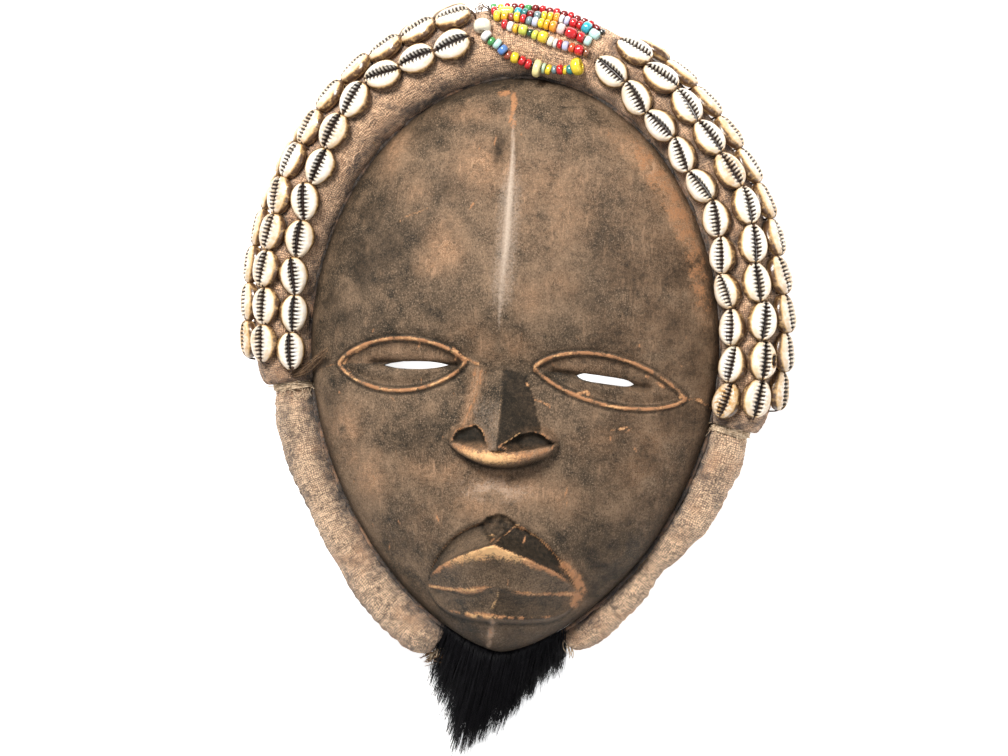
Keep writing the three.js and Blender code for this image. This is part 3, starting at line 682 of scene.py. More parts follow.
def almond(eye):
    """Outline of an eye, from its inner corner over the top and back underneath."""
    turn = np.linspace(0, 1, 73)
    t = 0.5 - 0.5 * np.cos(turn * 2 * np.pi)
    bulge = np.where(turn < 0.5, eye["up"], -eye["down"]) * (4 * t * (1 - t)) ** 0.75
    x = mix(eye["inner"][0], eye["outer"][0], t)
    y = mix(eye["inner"][1], eye["outer"][1], t) + bulge
    return np.stack([x, y], axis=-1)


def inside_polygon(x, y, corners):
    inside = np.zeros(x.shape, dtype=bool)
    for (x0, y0), (x1, y1) in zip(corners, corners[1:] + corners[:1]):
        if y0 != y1:
            inside ^= ((y0 > y) != (y1 > y)) & (x < (x1 - x0) * (y - y0) / (y1 - y0) + x0)
    return inside


def line_at(points, value):
    places, numbers = zip(*points)
    return np.interp(value, places, numbers)


# The kinds of marks on the wood, each with its strength on the sides and the back
MARKS = {"worn": 0, "bleach": 0, "chalk": 0, "rust": 0.1, "soot": 0.6}
# The front's columns and rows of points; the back has every fourth one
FACE_GRID = (245, 317)
BACK_STEP = 4


class Carving:
    """The carved front: its height in mm, and its marks: wear, rust, soot together with painted shade,
    bleached wear together with painted highlights, and chalky wear together with painted sheen.

    Marks run from 0 to 1. Numbers in a carving step are places, widths and depths in mm.
    """

    def __init__(self, x, y):
        self.x = x
        self.y = y
        self.face = face_height(x, y)
        self.z = self.face.copy()
        for kind in MARKS:
            setattr(self, kind, np.zeros_like(x))

    def wear(self, **marks):
        """Deepens marks of the named kinds to at least these amounts."""
        for kind, amount in marks.items():
            setattr(self, kind, np.maximum(getattr(self, kind), amount))

    def broken(self, size, seed, middle=0.65, swing=0.7):
        """Patchy strength from 0 to 1."""
        return np.clip(middle + swing * noise2(self.x, self.y, size, seed), 0, 1)

    def stroke(self, path, half, rise=0.0, seed=5, **marks):
        """A raised or cut line along a path, with marks of the given kinds and that breadth."""
        line = hump(distance_to_path(self.x, self.y, path), half)
        self.z += rise * line
        self.wear(**{kind: amount * line * self.broken(2.2, seed) for kind, amount in marks.items()})

    def ridge(self):
        """The crease down the forehead, rubbed orange at its top; lower down a pale line of wear with
        painted sheen, in a broad painted sheen.
        """
        x, y = self.x, self.y
        run = smooth(4, 20, y) * (1 - smooth(131, 134, y))
        off = np.abs(x - line_at(RIDGE_LINE, y))
        self.z += run * (0.8 * np.exp(-off / 1.4) + 1.9 * np.exp(-off / 11))
        self.wear(worn=0.9 * hump(off, 1.7) * smooth(110, 120, y) * run * self.broken(2.4, 13))
        # Width and strength of the pale line of wear and painted sheen down the crease
        reach = np.interp(y, [15, 35, 60, 80, 100, 115], [0.9, 1.5, 2.4, 2.1, 1.1, 0.7])
        pale_wear_and_sheen = np.interp(y, [10, 30, 55, 85, 105, 118], [0.1, 0.6, 0.95, 1.0, 0.8, 0.5]) * run
        self.wear(chalk=hump(off, reach) * pale_wear_and_sheen)
        # A broad painted sheen either side of the crease
        self.wear(chalk=0.42 * hump(off, 7) * smooth(12, 40, y) * (1 - smooth(80, 110, y)))
        self.stroke([(-9.6, 132.6), (-3, 132.8)], 1.6, 0.0, 17, worn=1.0)
        self.stroke([(-2.6, 132.6), (-1.2, 123), (-2, 117)], 1.0, 0.0, 19, worn=0.9)

    def eye(self, eye):
        x, y = self.x, self.y
        d = distance_to_path(x, y, almond(eye))
        t = np.clip((x - eye["inner"][0]) / (eye["outer"][0] - eye["inner"][0]), 0, 1)
        lift = (4 * t * (1 - t)) ** 0.75
        chord = mix(eye["inner"][1], eye["outer"][1], t)
        inside = (y < chord + eye["up"] * lift) & (y > chord - eye["down"] * lift) & (t > 0) & (t < 1)
        depth_in = np.where(inside, d, 0)
        upper = inside & (y > chord)
        groove = distance_to_path(x, y, eye["groove"])
        swell = 1.4 * smooth(2, 8, depth_in) - 1.1 * smooth(0.9, 3, depth_in)
        cut = 2.6 * hump(groove, 1.8) + 0.9 * hump(groove, 4.5)
        rim = 1 - smooth(0.5, 1.15, d)
        self.z += np.where(inside, swell - cut, -0.4 * hump(d - 2, 0.9))
        self.z += 1.15 * rim * (0.9 + 0.1 * noise2(x, y, 3, 7))
        # Worn rims with painted highlights, and painted shade in the grooves beside them
        self.wear(
            worn=rim * self.broken(2.4, 11, 0.78, 0.6),
            bleach=0.62 * hump(d, 0.65) * self.broken(2.6, 13, 0.35, 1.0),
            soot=0.85 * hump(d - 1.8, 0.7),
            rust=0.35 * upper,
        )
        # Painted shade under the upper rim
        self.wear(soot=0.6 * upper * hump(depth_in - 2, 4) * self.broken(3, 15, 0.8, 0.5))
        # Painted shade in the groove beside the slit
        self.wear(soot=0.9 * inside * hump(groove, 1.6))
        for n, (path, half, strength) in enumerate(eye["strokes"]):
            rise = 0.35 if strength > 0.5 else -0.3
            self.stroke(path, half, rise, 21 + n, worn=strength, bleach=0.5 * strength)

    def nose(self):
        """A creased wedge: a grey plane with painted light, a plane in painted shade, and a rubbed strip
        down the viewer's left.
        """
        x, y = self.x, self.y
        lines = {key: line_at(points, y) for key, points in NOSE_LINES.items()}
        t = np.clip(y / NOSE["tip"], 0, 1)
        rise = mix(NOSE["root_rise"], NOSE["tip_rise"], t)
        left = x < lines["crease"]
        foot = np.where(left, lines["left_foot"], lines["right_foot"])
        edge = np.where(left, lines["left_edge"], lines["right_edge"])
        s = np.clip((x - lines["crease"]) / (foot - lines["crease"]), 0, 1)
        turn = (edge - lines["crease"]) / (foot - lines["crease"])
        low = np.where(left, 0.32, 0.14)
        beyond = low * np.clip((1 - s) / (1 - turn), 0, 1) ** 1.6
        wedge = np.where(s < turn, 1 - (1 - low) * s / turn, beyond)
        arch = -1.5 - 4.2 * ((x - 2.5) / 11.5) ** 2
        top = smooth(0.6, -0.8, y - arch)
        whole = top * smooth(-43.5, -40.5, y)
        self.z += wedge * rise * whole
        plane = (s < turn) * whole
        # Painted shade on the plane turned from the light, a little on the lit one
        self.wear(soot=plane * np.where(left, 0.08, 0.92 * smooth(-1, 0.6, x - lines["crease"])))
        lean = x - (lines["left_foot"] + lines["left_edge"]) / 2
        strip = hump(lean, 3.2) * smooth(2, -6, y) * smooth(-33, -29, y)
        fibres = np.clip(0.15 + 1.3 * noise2(lean * 4, y * 0.6, 2.6, 27), 0, 1)
        self.wear(
            worn=0.8 * strip * fibres,
            rust=0.8 * strip,
            # Painted light on the lit plane
            chalk=0.24 * plane * left * smooth(-8, -20, y),
            bleach=0.22 * hump(x - lines["crease"], 0.8) * smooth(-4, -10, y) * whole,
            # Painted shade under the arch at the nose's top
            soot=0.6 * hump(y - arch - 0.3, 0.8) * (np.abs(x - 2.5) < 11),
        )
        self.stroke([(13.3, -8.1), (17.6, -16), (24, -18.1)], 0.7, 0.1, 31, worn=0.7, bleach=0.4)

    def nostrils(self):
        x, y = self.x, self.y
        for corners, (cx, cy, tilt) in zip(NOSTRILS, WINGS):
            c, s = math.cos(math.radians(tilt)), math.sin(math.radians(tilt))
            u = (x - cx) * c + (y - cy) * s
            v = -(x - cx) * s + (y - cy) * c
            q = np.hypot(u / WING_RADII[0], v / WING_RADII[1])
            lobe = 2 + WING_RADII[2] * np.sqrt(np.clip(1 - q**2, 0, 1)) - 12 * np.clip(q - 1, 0, None)
            self.z = np.maximum(self.z, self.face + lobe)
            inside = inside_polygon(x, y, corners)
            d = distance_to_path(x, y, corners + corners[:1])
            self.z -= 5.2 * inside * (1 - np.exp(-d / 1.3)) * mix(0.45, 1, smooth(-41, -34, y))
            self.chalk = np.where(inside, 0, self.chalk)
            lip = hump(d, 0.75) * ~inside * smooth(-41.5, -38, y)
            # Pale wear with painted highlights on the hollows' edges, painted shade in the hollows, deepest
            # at the top, and darker wings
            self.wear(
                worn=0.9 * lip * self.broken(2.4, 33),
                bleach=0.8 * lip * self.broken(3, 35, 0.4, 0.8) * (np.abs(x - 3) < 14),
                soot=np.where(inside, mix(0.35, 1, smooth(-40.5, -36, y)), 0.35 * smooth(1.2, 0.6, q)),
                rust=np.where(inside, smooth(-36, -40, y), 0.7 * smooth(1.3, 0.7, q)),
            )

    def nose_rim(self):
        """The rubbed crescent under the nose."""
        x, y = self.x, self.y
        t = (x - NOSE_RIM["x"]) / NOSE_RIM["half_width"]
        within = np.abs(t) < 1.1
        t = np.clip(t, -1.1, 1.1)
        line = NOSE_RIM["low"] + NOSE_RIM["curl"] * t**2
        height = face_height(NOSE_RIM["x"] + NOSE_RIM["half_width"] * t, line)
        height += NOSE_RIM["rise"] * (1 - 0.62 * t**2)
        radius = NOSE_RIM["radius"] * np.sqrt(np.clip(1.02 - 0.72 * t**2, 0.05, 1))
        q = (y - line) / radius
        bulge = 1.3 * np.sqrt(np.clip(1 - q**2, 0, 1)) - 6 * np.clip(np.abs(q) - 1, 0, None)
        self.z = np.where(within, np.maximum(self.z, height + radius * bulge), self.z)
        crown = hump(q, 0.8) * within * smooth(1.08, 0.9, np.abs(t))
        self.soot = np.where(crown > 0.4, self.soot * 0.2, self.soot)
        grain = np.clip(0.7 + 0.6 * noise2(x * 3, y * 0.6, 2.2, 37), 0, 1)
        self.wear(
            worn=crown * mix(1, grain, 0.6) * mix(0.45, 1, hump(t + 0.1, 0.75)),
            bleach=hump(q + 0.1, 0.85) * within * mix(1, grain, 0.6) * hump(t + 0.16, 0.62),
            rust=crown,
            # Painted shadow under the crescent
            soot=0.9 * hump(y - line + 1.5 * radius, 1.1) * smooth(1.0, 0.7, np.abs(t)),
        )

    def mouth(self):
        """Both lips, pushed out of a recess whose upper planes are in painted shade, and the line between
        them.
        """
        x, y = self.x, self.y
        beside = np.abs(x - MOUTH["x"])
        t = np.clip(beside / MOUTH["half_width"], 0, 1)
        contour = MOUTH["y"] + MOUTH["contour"] * (1 - t**2.2) ** 0.8
        upper = MOUTH["y"] + MOUTH["upper"] * (1 - t**1.1) ** 0.6
        lower = MOUTH["y"] - MOUTH["lower"] * (1 - t**5) ** 0.7
        line = MOUTH["y"] + 3.0 * hump(x - 2, 10) * (1 - t)
        push = LIP_PUSH * (1 - t**2) ** 0.6
        spread = np.maximum((contour - lower) / (MOUTH["contour"] + MOUTH["lower"]), 0.01)
        crest = upper - 0.7 * spread
        brink = lower + 0.8 * spread
        at_upper, at_lower = face_height(x, upper), face_height(x, lower)
        middle = mix(at_upper, at_lower, 0.55) + push
        keel = line_at([(down, across) for across, down in LIP_KEEL[::-1]], y)

        def between(high, low):
            """How far down from one line to the next, from 0 to 1."""
            return np.clip((high - y) / np.maximum(high - low, 0.01), 0, 1)

        def lip(top, bottom, down, sag, power):
            return mix(top, bottom, down) - sag * spread * np.sin(np.pi * down) ** power

        sunk = face_height(x, contour) - MOUTH_RECESS * spread
        z = mix(sunk, at_upper + push, between(contour, crest) ** 2.1)
        z = np.where(y < crest, lip(at_upper + push, middle, between(crest, line), 1.7, 0.8), z)
        down = between(line, brink)
        arc = np.sin(np.pi * np.clip(down, 0.04, 1)) ** 0.5
        fold = 0.9 * smooth(-0.3, 0.9, x - keel) * arc * hump(x - keel, 14)
        z = np.where(y < line, lip(middle, at_lower + 0.85 * push, down, 2.0, 0.7) - fold, z)
        away = 0.8 * spread * np.clip(1 - (lower - 2.4 * spread - y) / 4, 0, 1)
        under = mix(at_lower + 0.85 * push, self.face - away, between(brink, brink - 3.2 * spread) ** 0.7)
        z = np.where(y < brink, under, z)
        inside = (beside < MOUTH["half_width"]) & (y < contour + 0.6) & (y > lower - 7)
        self.z = np.where(inside, mix(self.z, z, smooth(0.6, -0.3, y - contour)), self.z)

        right = smooth(-1, 1.5, x - 3)
        plane = inside * (y > crest) * (y < contour)
        # Painted shade on the planes over the upper lip, darkest on the right and near the cut, and on the
        # right of both lips; painted shadow along the upper lip's top and under the lower lip
        self.wear(soot=plane * mix(mix(0.9, 0.42, smooth(0, 6, contour - y)), 1.0, right))
        self.wear(soot=inside * (y < line) * (y > lower) * mix(0.16, 0.66, smooth(-0.5, 0.8, x - keel)))
        self.wear(soot=inside * (y > line) * (y < crest) * mix(0.12, 0.3, right))
        groove = 0.85 * hump(y - lower + 2.6 * spread, 1.8) + 0.7 * hump(y - crest - 1.3, 0.9)
        self.wear(soot=inside * groove)
        self.wear(soot=0.55 * inside * hump(y - crest + 9, 5) * hump(x - 4, 12))
        width = np.where(y < crest, mix(1.6, 5.4, hump(x - 0.5, 20)), 0.7)
        band = inside * hump(y - crest, width) * smooth(1.0, 0.7, t)
        # Pale wear along the upper lip's top edge, with a painted highlight where it faces up
        self.wear(
            worn=band * self.broken(2.6, 41, 0.75, 0.6),
            bleach=band * hump(x - 0.5, 21) * self.broken(4, 43, 0.9, 0.4),
        )
        parting = inside * (1 - hump(x - 6, 8)) * smooth(1.0, 0.92, t)
        gap = np.where(x < 3, mix(0.7, 1.5, hump(x + 8, 8)), 0.9)
        # The parting is worn pale, with a painted shadow just under it
        self.wear(
            worn=parting * hump(y - line + 0.2, 1.3 * gap) * self.broken(3, 47, 0.8, 0.5),
            bleach=0.65 * parting * hump(y - line + 0.2, 0.9 * gap) * self.broken(4, 49),
            soot=0.7 * parting * hump(y - line + 2.2 * gap, 0.8 * gap),
        )
        edge = inside * hump(y - lower - 1.4 * spread, mix(0.8, 2.0, hump(x + 6, 10)))
        self.wear(
            worn=edge * smooth(0.8, 0.5, t) * self.broken(2.4, 51, 0.7, 0.8),
            bleach=edge * hump(x + 5, 9) * self.broken(3, 53),
        )
        self.stroke(LIP_KEEL, 0.7, 0.0, 55, bleach=0.6)
        rim = hump(y - contour, 0.7) * smooth(1.0, 0.9, t) * smooth(7, 10, beside)
        rim *= beside < MOUTH["half_width"]
        # The cut's edge is worn, with a painted highlight strongest on the right where its wall faces the
        # light, and painted shade just outside it
        self.wear(
            worn=rim * mix(0.4, 1.0, right) * self.broken(2.4, 57, 0.8, 0.5),
            bleach=rim * mix(0.2, 0.5, right) * self.broken(3, 59),
            soot=0.55 * hump(y - contour - 1.8, 1.3) * smooth(1.05, 0.9, t),
        )
        corner = distance_to_path(x, y, MOUTH_CORNER)
        self.wear(worn=hump(corner, 2.3) * self.broken(1.8, 61, 0.85, 0.6), rust=hump(corner, 3.8))

    def philtrum(self):
        """The rough three-cornered notch cut over the upper lip, in painted shade, with a painted shadow
        down its left edge and painted highlights along its right edge and near its tip.
        """
        x, y = self.x, self.y
        inside = inside_polygon(x, y, PHILTRUM)
        d = distance_to_path(x, y, PHILTRUM + PHILTRUM[:1])
        floor = face_height(x, y * 0 - 74) - 2.6 + 0.45 * noise2(x, y, 1.8, 63)
        self.z = np.where(inside, mix(self.z, np.minimum(self.z, floor), 1 - np.exp(-d / 0.7)), self.z)
        # Painted shade inside the notch, and a painted shadow along its left edge
        self.soot = np.where(inside, np.clip(0.85 + 0.4 * noise2(x, y, 1.6, 65), 0, 1), self.soot)
        self.wear(soot=hump(d, 0.8) * (x < 1.8) * (y < -73))
        # Pale wear and painted highlights on the notch's edges
        self.stroke([(12, -76), (8.5, -79.5), (3.4, -84.6)], 0.7, 0.15, 67, worn=0.45, bleach=0.3)
        self.stroke([(11.6, -75.4), (12.6, -76.2)], 1.1, 0.15, 69, bleach=1.0)
        self.stroke([(-0.5, -81.5), (2.6, -82.6)], 0.6, 0.1, 71, bleach=0.6)

    def patina(self):
        """Broad places rubbed warm and light, or dark with smoke; painted shade round the rim where the
        rolls lie; broad darker and warmer areas; and old scratches.
        """
        x, y = self.x, self.y
        cloud = np.clip(0.8 + 0.55 * noise2(x, y, 9, 73) + 0.35 * noise2(x, y, 3.5, 75), 0, 1.3)
        for kind, spots in (("rust", RUBBED), ("soot", SOOTY)):
            for cx, cy, rx, ry, amount in spots:
                spot = amount * hump(x - cx, 1.15 * rx) * hump(y - cy, 1.15 * ry) * cloud
                self.wear(**{kind: np.minimum(spot, 1)})
        rho = np.hypot(x, y) / rim_radius(np.degrees(np.arctan2(x, y)))
        rubbed = smooth(0.86, 0.93, rho) * smooth(0.99, 0.965, rho) * (x > 0)
        rubbed *= smooth(5, 45, y) * smooth(124, 100, y)
        self.wear(rust=rubbed, worn=0.52 * rubbed * self.broken(2.6, 77, 0.7, 0.6))
        # Painted shade along the rim where the rolls lie against it
        self.wear(soot=0.85 * smooth(np.where((x > 0) & (y > 20), 0.975, 0.93), 1.0, rho))
        self.wear(rust=0.46 * smooth(30, 75, x) * smooth(-95, -35, y) * cloud)
        self.wear(soot=0.6 * smooth(15, 75, x) * smooth(90, 50, y) * cloud)
        self.wear(soot=0.9 * smooth(26, 48, x) * smooth(-52, -92, y) * np.clip(cloud, 0.7, 1))
        self.wear(soot=0.2 * hump(y - 14, 18) * cloud)
        self.wear(soot=0.26 * smooth(-45, -80, y) * cloud)
        self.wear(soot=0.6 * smooth(-122, -132, y) * smooth(3, 8, np.abs(x + 2)))
        self.wear(chalk=0.44 * hump(x, 21) * hump(y + 60, 7.5) * np.clip(cloud, 0.5, 1))
        self.stroke([(-53.7, 67.1), (-47, 71.6), (-39.3, 74)], 0.7, -0.08, 79, worn=0.5, bleach=0.35)
        self.stroke([(53.6, -29.2), (61.8, -27.4)], 0.7, -0.08, 81, worn=0.8, bleach=0.5)

    def tool_marks(self):
        """Low facets left by the knife, and small dents."""
        x, y = self.x, self.y
        self.z += 0.1 * noise2(x, y, 7, 83) + 0.06 * noise2(x + y, y - x, 3.4, 85)
        rng = np.random.default_rng(71)
        for _ in range(90):
            cx, cy = rng.uniform(-88, 88), rng.uniform(-125, 120)
            long_half, turn = rng.uniform(0.6, 3.0), rng.normal(math.pi / 2, 0.5)
            u = (x - cx) * math.cos(turn) + (y - cy) * math.sin(turn)
            v = -(x - cx) * math.sin(turn) + (y - cy) * math.cos(turn)
            nick = hump(u, long_half) * hump(v, 0.5)
            self.z -= 0.14 * nick
            self.wear(worn=0.8 * nick * rng.uniform(0.1, 1))

    def carve(self):
        self.ridge()
        for eye in EYES:
            self.eye(eye)
        self.nose()
        self.nostrils()
        self.nose_rim()
        self.mouth()
        self.philtrum()
        # A raised chin ridge, rubbed red-brown, with pale wear and a painted highlight along it
        self.stroke(CHIN_RIDGE, 1.6, 1.3, 87, rust=1.0, worn=0.5, chalk=0.8)
        self.patina()
        self.tool_marks()
        return self


def spread_rows(count):
    """Rows from chin to crown, closer together over the eyes, nose and mouth."""
    fine = np.linspace(WOOD_CHIN_Y, WOOD_TOP_Y, 4001)
    steps = np.cumsum(1 / mix(1.45, 0.66, smooth(-134, -124, fine) * smooth(22, 12, fine)))
    return np.interp(np.linspace(0, 1, count), (steps - steps[0]) / (steps[-1] - steps[0]), fine)


def disc_grid(columns, rows):
    """A square grid pressed into the wood's outline: share of the rim radius and degrees."""
    across = np.linspace(-1, 1, columns)
    along = spread_rows(rows) / WOOD_TOP_Y
    u, v = np.meshgrid(across, along)
    a = u * np.sqrt(1 - v**2 / 2)
    b = v * np.sqrt(1 - u**2 / 2)
    return np.minimum(1, np.hypot(a, b)), np.degrees(np.arctan2(a, b))


# The share of the rim's radius where the dome turns steep
STEEP_FROM = 0.88


def crowd_to_rim(share):
    """Moves rings outwards so that the steep edge of the dome has more of them."""
    fine = np.linspace(0, 1, 2001)
    run = np.cumsum(1 - 0.92 * np.clip((fine - STEEP_FROM) / (1 - STEEP_FROM), 0, 1))
    return np.interp(share, fine, (run - run[0]) / (run[-1] - run[0]))


def border(columns, rows):
    """Indices of a grid's edge points in order round it."""
    index = np.arange(columns * rows).reshape(rows, columns)
    return np.concatenate([index[0, :-1], index[:-1, -1], index[-1, :0:-1], index[:0:-1, 0]])


def wall_rings(degrees):
    """Points down the outside of the wall, under the rim and up the inside."""
    steps = [(0, EDGE_Z - 1.2), (0, 8), (0, 1), (0.4, 0.15), (1.2, 0)]
    steps += [(WALL - 1.2, 0), (WALL - 0.4, 0.15), (WALL, 1), (WALL, EDGE_Z - WALL)]
    return [polar(rim_radius(degrees) - inset, degrees, z) for inset, z in steps]


def hollow_back(rho, degrees):
    """The hewn inside, a wall's thickness behind the plain face."""
    points = polar((rim_radius(degrees) - WALL) * np.minimum(rho, 1), degrees)
    x, y = points[..., 0], points[..., 1]
    hewn = 0.5 * noise2(x, y, 11, 73) + 0.25 * noise2(x, y, 6, 79)
    points[..., 2] = face_height(x * 1.08, y * 1.06) - WALL + hewn * (1 - rho**6)
    return points


def carved_face(material):
    """The hollow wooden face, closed over its rim, with both seeing slits cut through."""
    columns, rows = FACE_GRID
    share, degrees = disc_grid(columns, rows)
    rho = crowd_to_rim(share)
    front = polar(rho * rim_radius(degrees), degrees)
    carving = Carving(front[..., 0], front[..., 1]).carve()
    front[..., 2] = carving.z
    faces = grid_faces(rows, columns)
    loop = border(columns, rows)
    rings = wall_rings(degrees.ravel()[loop][::BACK_STEP])
    count, size = columns * rows, len(rings[0])
    for k in range(size):
        here = [loop[(BACK_STEP * k + n) % len(loop)] for n in range(BACK_STEP + 1)]
        low, low_next = count + k, count + (k + 1) % size
        for n in range(BACK_STEP):
            faces.append([here[n + 1], here[n], low if n < BACK_STEP // 2 else low_next])
        faces.append([here[BACK_STEP // 2], low, low_next])
    for r in range(len(rings) - 1):
        for k in range(size):
            a, b = count + r * size + k, count + r * size + (k + 1) % size
            faces.append([b, a, a + size, b + size])
    back = hollow_back(rho[::BACK_STEP, ::BACK_STEP], degrees[::BACK_STEP, ::BACK_STEP])
    # The back's border is the last ring, and its other points follow the rings
    count += len(rings) * size
    inner = np.zeros(back.shape[:2], dtype=bool)
    inner[1:-1, 1:-1] = True
    place = np.zeros(inner.shape, dtype=int)
    place[inner] = count + np.arange(inner.sum())
    place.ravel()[border(*inner.shape[::-1])] = count - size + np.arange(size)
    for low, high in zip(place[:-1], place[1:]):
        for j in range(len(low) - 1):
            faces.append([low[j], high[j], high[j + 1], low[j + 1]])
    points = np.concatenate([front.reshape(-1, 3), *rings, back[inner]])
    extra = len(points) - columns * rows
    values = {
        kind: np.append(np.clip(getattr(carving, kind), 0, 1), np.full(extra, unseen))
        for kind, unseen in MARKS.items()
    }
    faces = [[int(k) for k in face] for face in faces]
    piece = add_piece("carved_face", points, faces, material, ["wood_face"], "carved_wood", values)
    cut_slits(piece)
    piece.data.set_sharp_from_angle(angle=math.radians(55))
    return piece


# The slits are cut from below the wood to above it
SLIT_CUT = (20.0, 80.0)


def slit_cutter(slit):
    """A narrow lens that reaches right through the wood."""
    t = np.linspace(-1, 1, 21)
    half = slit["half_height"] * (1 - np.abs(t) ** slit["blunt"])
    ragged = 0.12 * noise2(t * 17, t * 0 + slit["x"], 2.2, 83)
    top = np.stack([t, half + ragged * (half > 0)], axis=-1)
    low = np.stack([t[1:-1], -half[1:-1] + 0.6 * ragged[1:-1]], axis=-1)[::-1]
    outline = np.concatenate([top, low])
    u = outline[:, 0] * slit["half_length"]
    v = outline[:, 1]
    turn = math.radians(slit["tilt"])
    x = slit["x"] + u * math.cos(turn) - v * math.sin(turn)
    y = slit["y"] + u * math.sin(turn) + v * math.cos(turn)
    n = len(x)
    points = [np.stack([x, y, np.full(n, z)], axis=-1) for z in SLIT_CUT]
    faces = [[k, k + n, (k + 1) % n + n, (k + 1) % n] for k in range(n)]
    faces += [list(range(n)), list(range(n, 2 * n))[::-1]]
    return np.concatenate(points), faces


def cut_slits(piece):
    for eye in EYES:
        points, faces = slit_cutter(eye["slit"])
        mesh = bpy.data.meshes.new("slit")
        mesh.from_pydata(put_in_frame(points).tolist(), [], faces)
        cutter = bpy.data.objects.new("slit", mesh)
        bpy.context.scene.collection.objects.link(cutter)
        cut = piece.modifiers.new("slit", "BOOLEAN")
        cut.operation = "DIFFERENCE"
        cut.solver = "EXACT"
        cut.object = cutter
        cut_piece = piece.evaluated_get(bpy.context.evaluated_depsgraph_get())
        shape = bpy.data.meshes.new_from_object(cut_piece)
        piece.modifiers.clear()
        piece.data = shape
        bpy.data.objects.remove(cutter)


def roll_stations(form, pitch):
    """Degrees along a roll, spaced by that many millimetres of its middle line."""
    fine = np.linspace(form["from"], form["to"], 1200)
    run = run_along(on_roll(fine, roll_radius(form, fine), 0 * fine, 0 * fine))
    places = np.linspace(0, run[-1], int(round(run[-1] / pitch)) + 1)
    return np.interp(places, run, fine), places


def stuffed_roll(name, form, material, node, relief, dirt_and_shade, sides, tint=None):
    """A padded cloth roll: relief() gives how far the cloth stands from the plain form, in mm."""
    degrees, run = roll_stations(form, 1.0)
    steps = len(run)
    deg, lean = np.meshgrid(degrees, 180 + np.arange(sides) / sides * 360, indexing="ij")
    along = np.repeat(run[:, None], sides, axis=1)
    radius = roll_radius(form, deg)
    around = np.radians(lean) * np.median(radius)
    ends = np.minimum(along, run[-1] - along)
    pleats = np.cos(np.radians(lean) * 9 + 2 * noise2(lean, along, 40, 5))
    out = radius + relief(along, lean, deg) + 0.07 * radius * pleats * np.exp(-ends / 5)
    points = on_roll(deg, radius, lean, out)
    points[..., 2] = np.maximum(points[..., 2], CLOTH_LOWEST)
    weave = np.stack([along, around, 0 * along], axis=-1) / WEAVE_PITCH
    soil_and_shade = dirt_and_shade(along, lean, deg)
    tinted = 0 * soil_and_shade if tint is None else tint(along, run[-1])
    parts = [(points.reshape(-1, 3), weave.reshape(-1, 3), soil_and_shade.ravel(), tinted.ravel())]
    faces = grid_faces(steps, sides, wrap=True)
    count = steps * sides
    for end, first in ((0, 0), (-1, count - sides)):
        centre = points[end].mean(axis=0)
        inset = mix(points[end], centre, 0.55)
        cap = np.concatenate([inset, centre[None, :]])
        cap_weave = np.concatenate([weave[end] * 0.6, weave[end][:1]])
        parts.append((cap, cap_weave, np.full(sides + 1, 0.6), np.full(sides + 1, tinted[end].mean())))
        for k in range(sides):
            n = (k + 1) % sides
            pair = [[first + k, first + n, count + n, count + k], [count + k, count + n, count + sides]]
            faces += [face[::-1] for face in pair] if end == 0 else pair
        count += sides + 1
    joined = [np.concatenate(group) for group in zip(*parts)]
    values = {"weave": joined[1], "dirt_and_shade": joined[2], "tint": joined[3]}
    piece = add_piece(name, joined[0], faces, material, [node], "stuffed_cloth", values)
    return piece


def hem_and_shade_cord(name, form, material, seed):
    """The roll's turned-in hem, a dark wavy cord that fills the crevice against the wood, where it also
    stands for the crevice's shade.
    """
    rng = np.random.default_rng(seed)
    degrees, run = roll_stations(form, 1.2)
    thick = 0.95 + 0.22 * noise2(run, 0 * run, 5, seed)
    path = rim_point(degrees)
    for n, (deg, radius) in enumerate(zip(degrees, roll_radius(form, degrees))):
        # The lowest place where the gap between cloth and wood is as wide as the cord
        z = np.arange(radius * 0.9, 40, 0.1)
        over = np.clip((z - EDGE_Z) / JAW_DEPTH, 0, 1)
        wood = rim_radius(deg) * (1 - (1 - over**2) ** (1 / DOME_POWER))
        above = (z - radius - ROLL_LIFT) / radius
        cloth = radius + ROLL_GAP - radius * np.sqrt(np.clip(1 - above**2, 0, 1))
        k = int(np.argmax(wood + cloth > 2 * thick[n] + 0.1))
        path[n] += rim_normal(deg) * (cloth[k] - wood[k]) / 2
        path[n, 2] = z[k] + 0.15
    batch = Batch()
    batch.add(*tube(path, thick, 8))
    for n in rng.integers(2, len(path) - 2, int(run[-1] / 4)):
        start = path[n] + (0, 0, thick[n] * 0.8)
        strand = loose_end(rng, start, (1, 1, 0.4), (0, 0, 0.5), (1.5, 4.5), 5)
        batch.add(*tube(strand, 0.13, 4))
    return batch.piece(name, material, slot="stuffed_cloth")


def near_wood(lean):
    """How close a side of a roll is to the wood, from 0 to 1."""
    return hump(around_zero(lean - 285), 34)


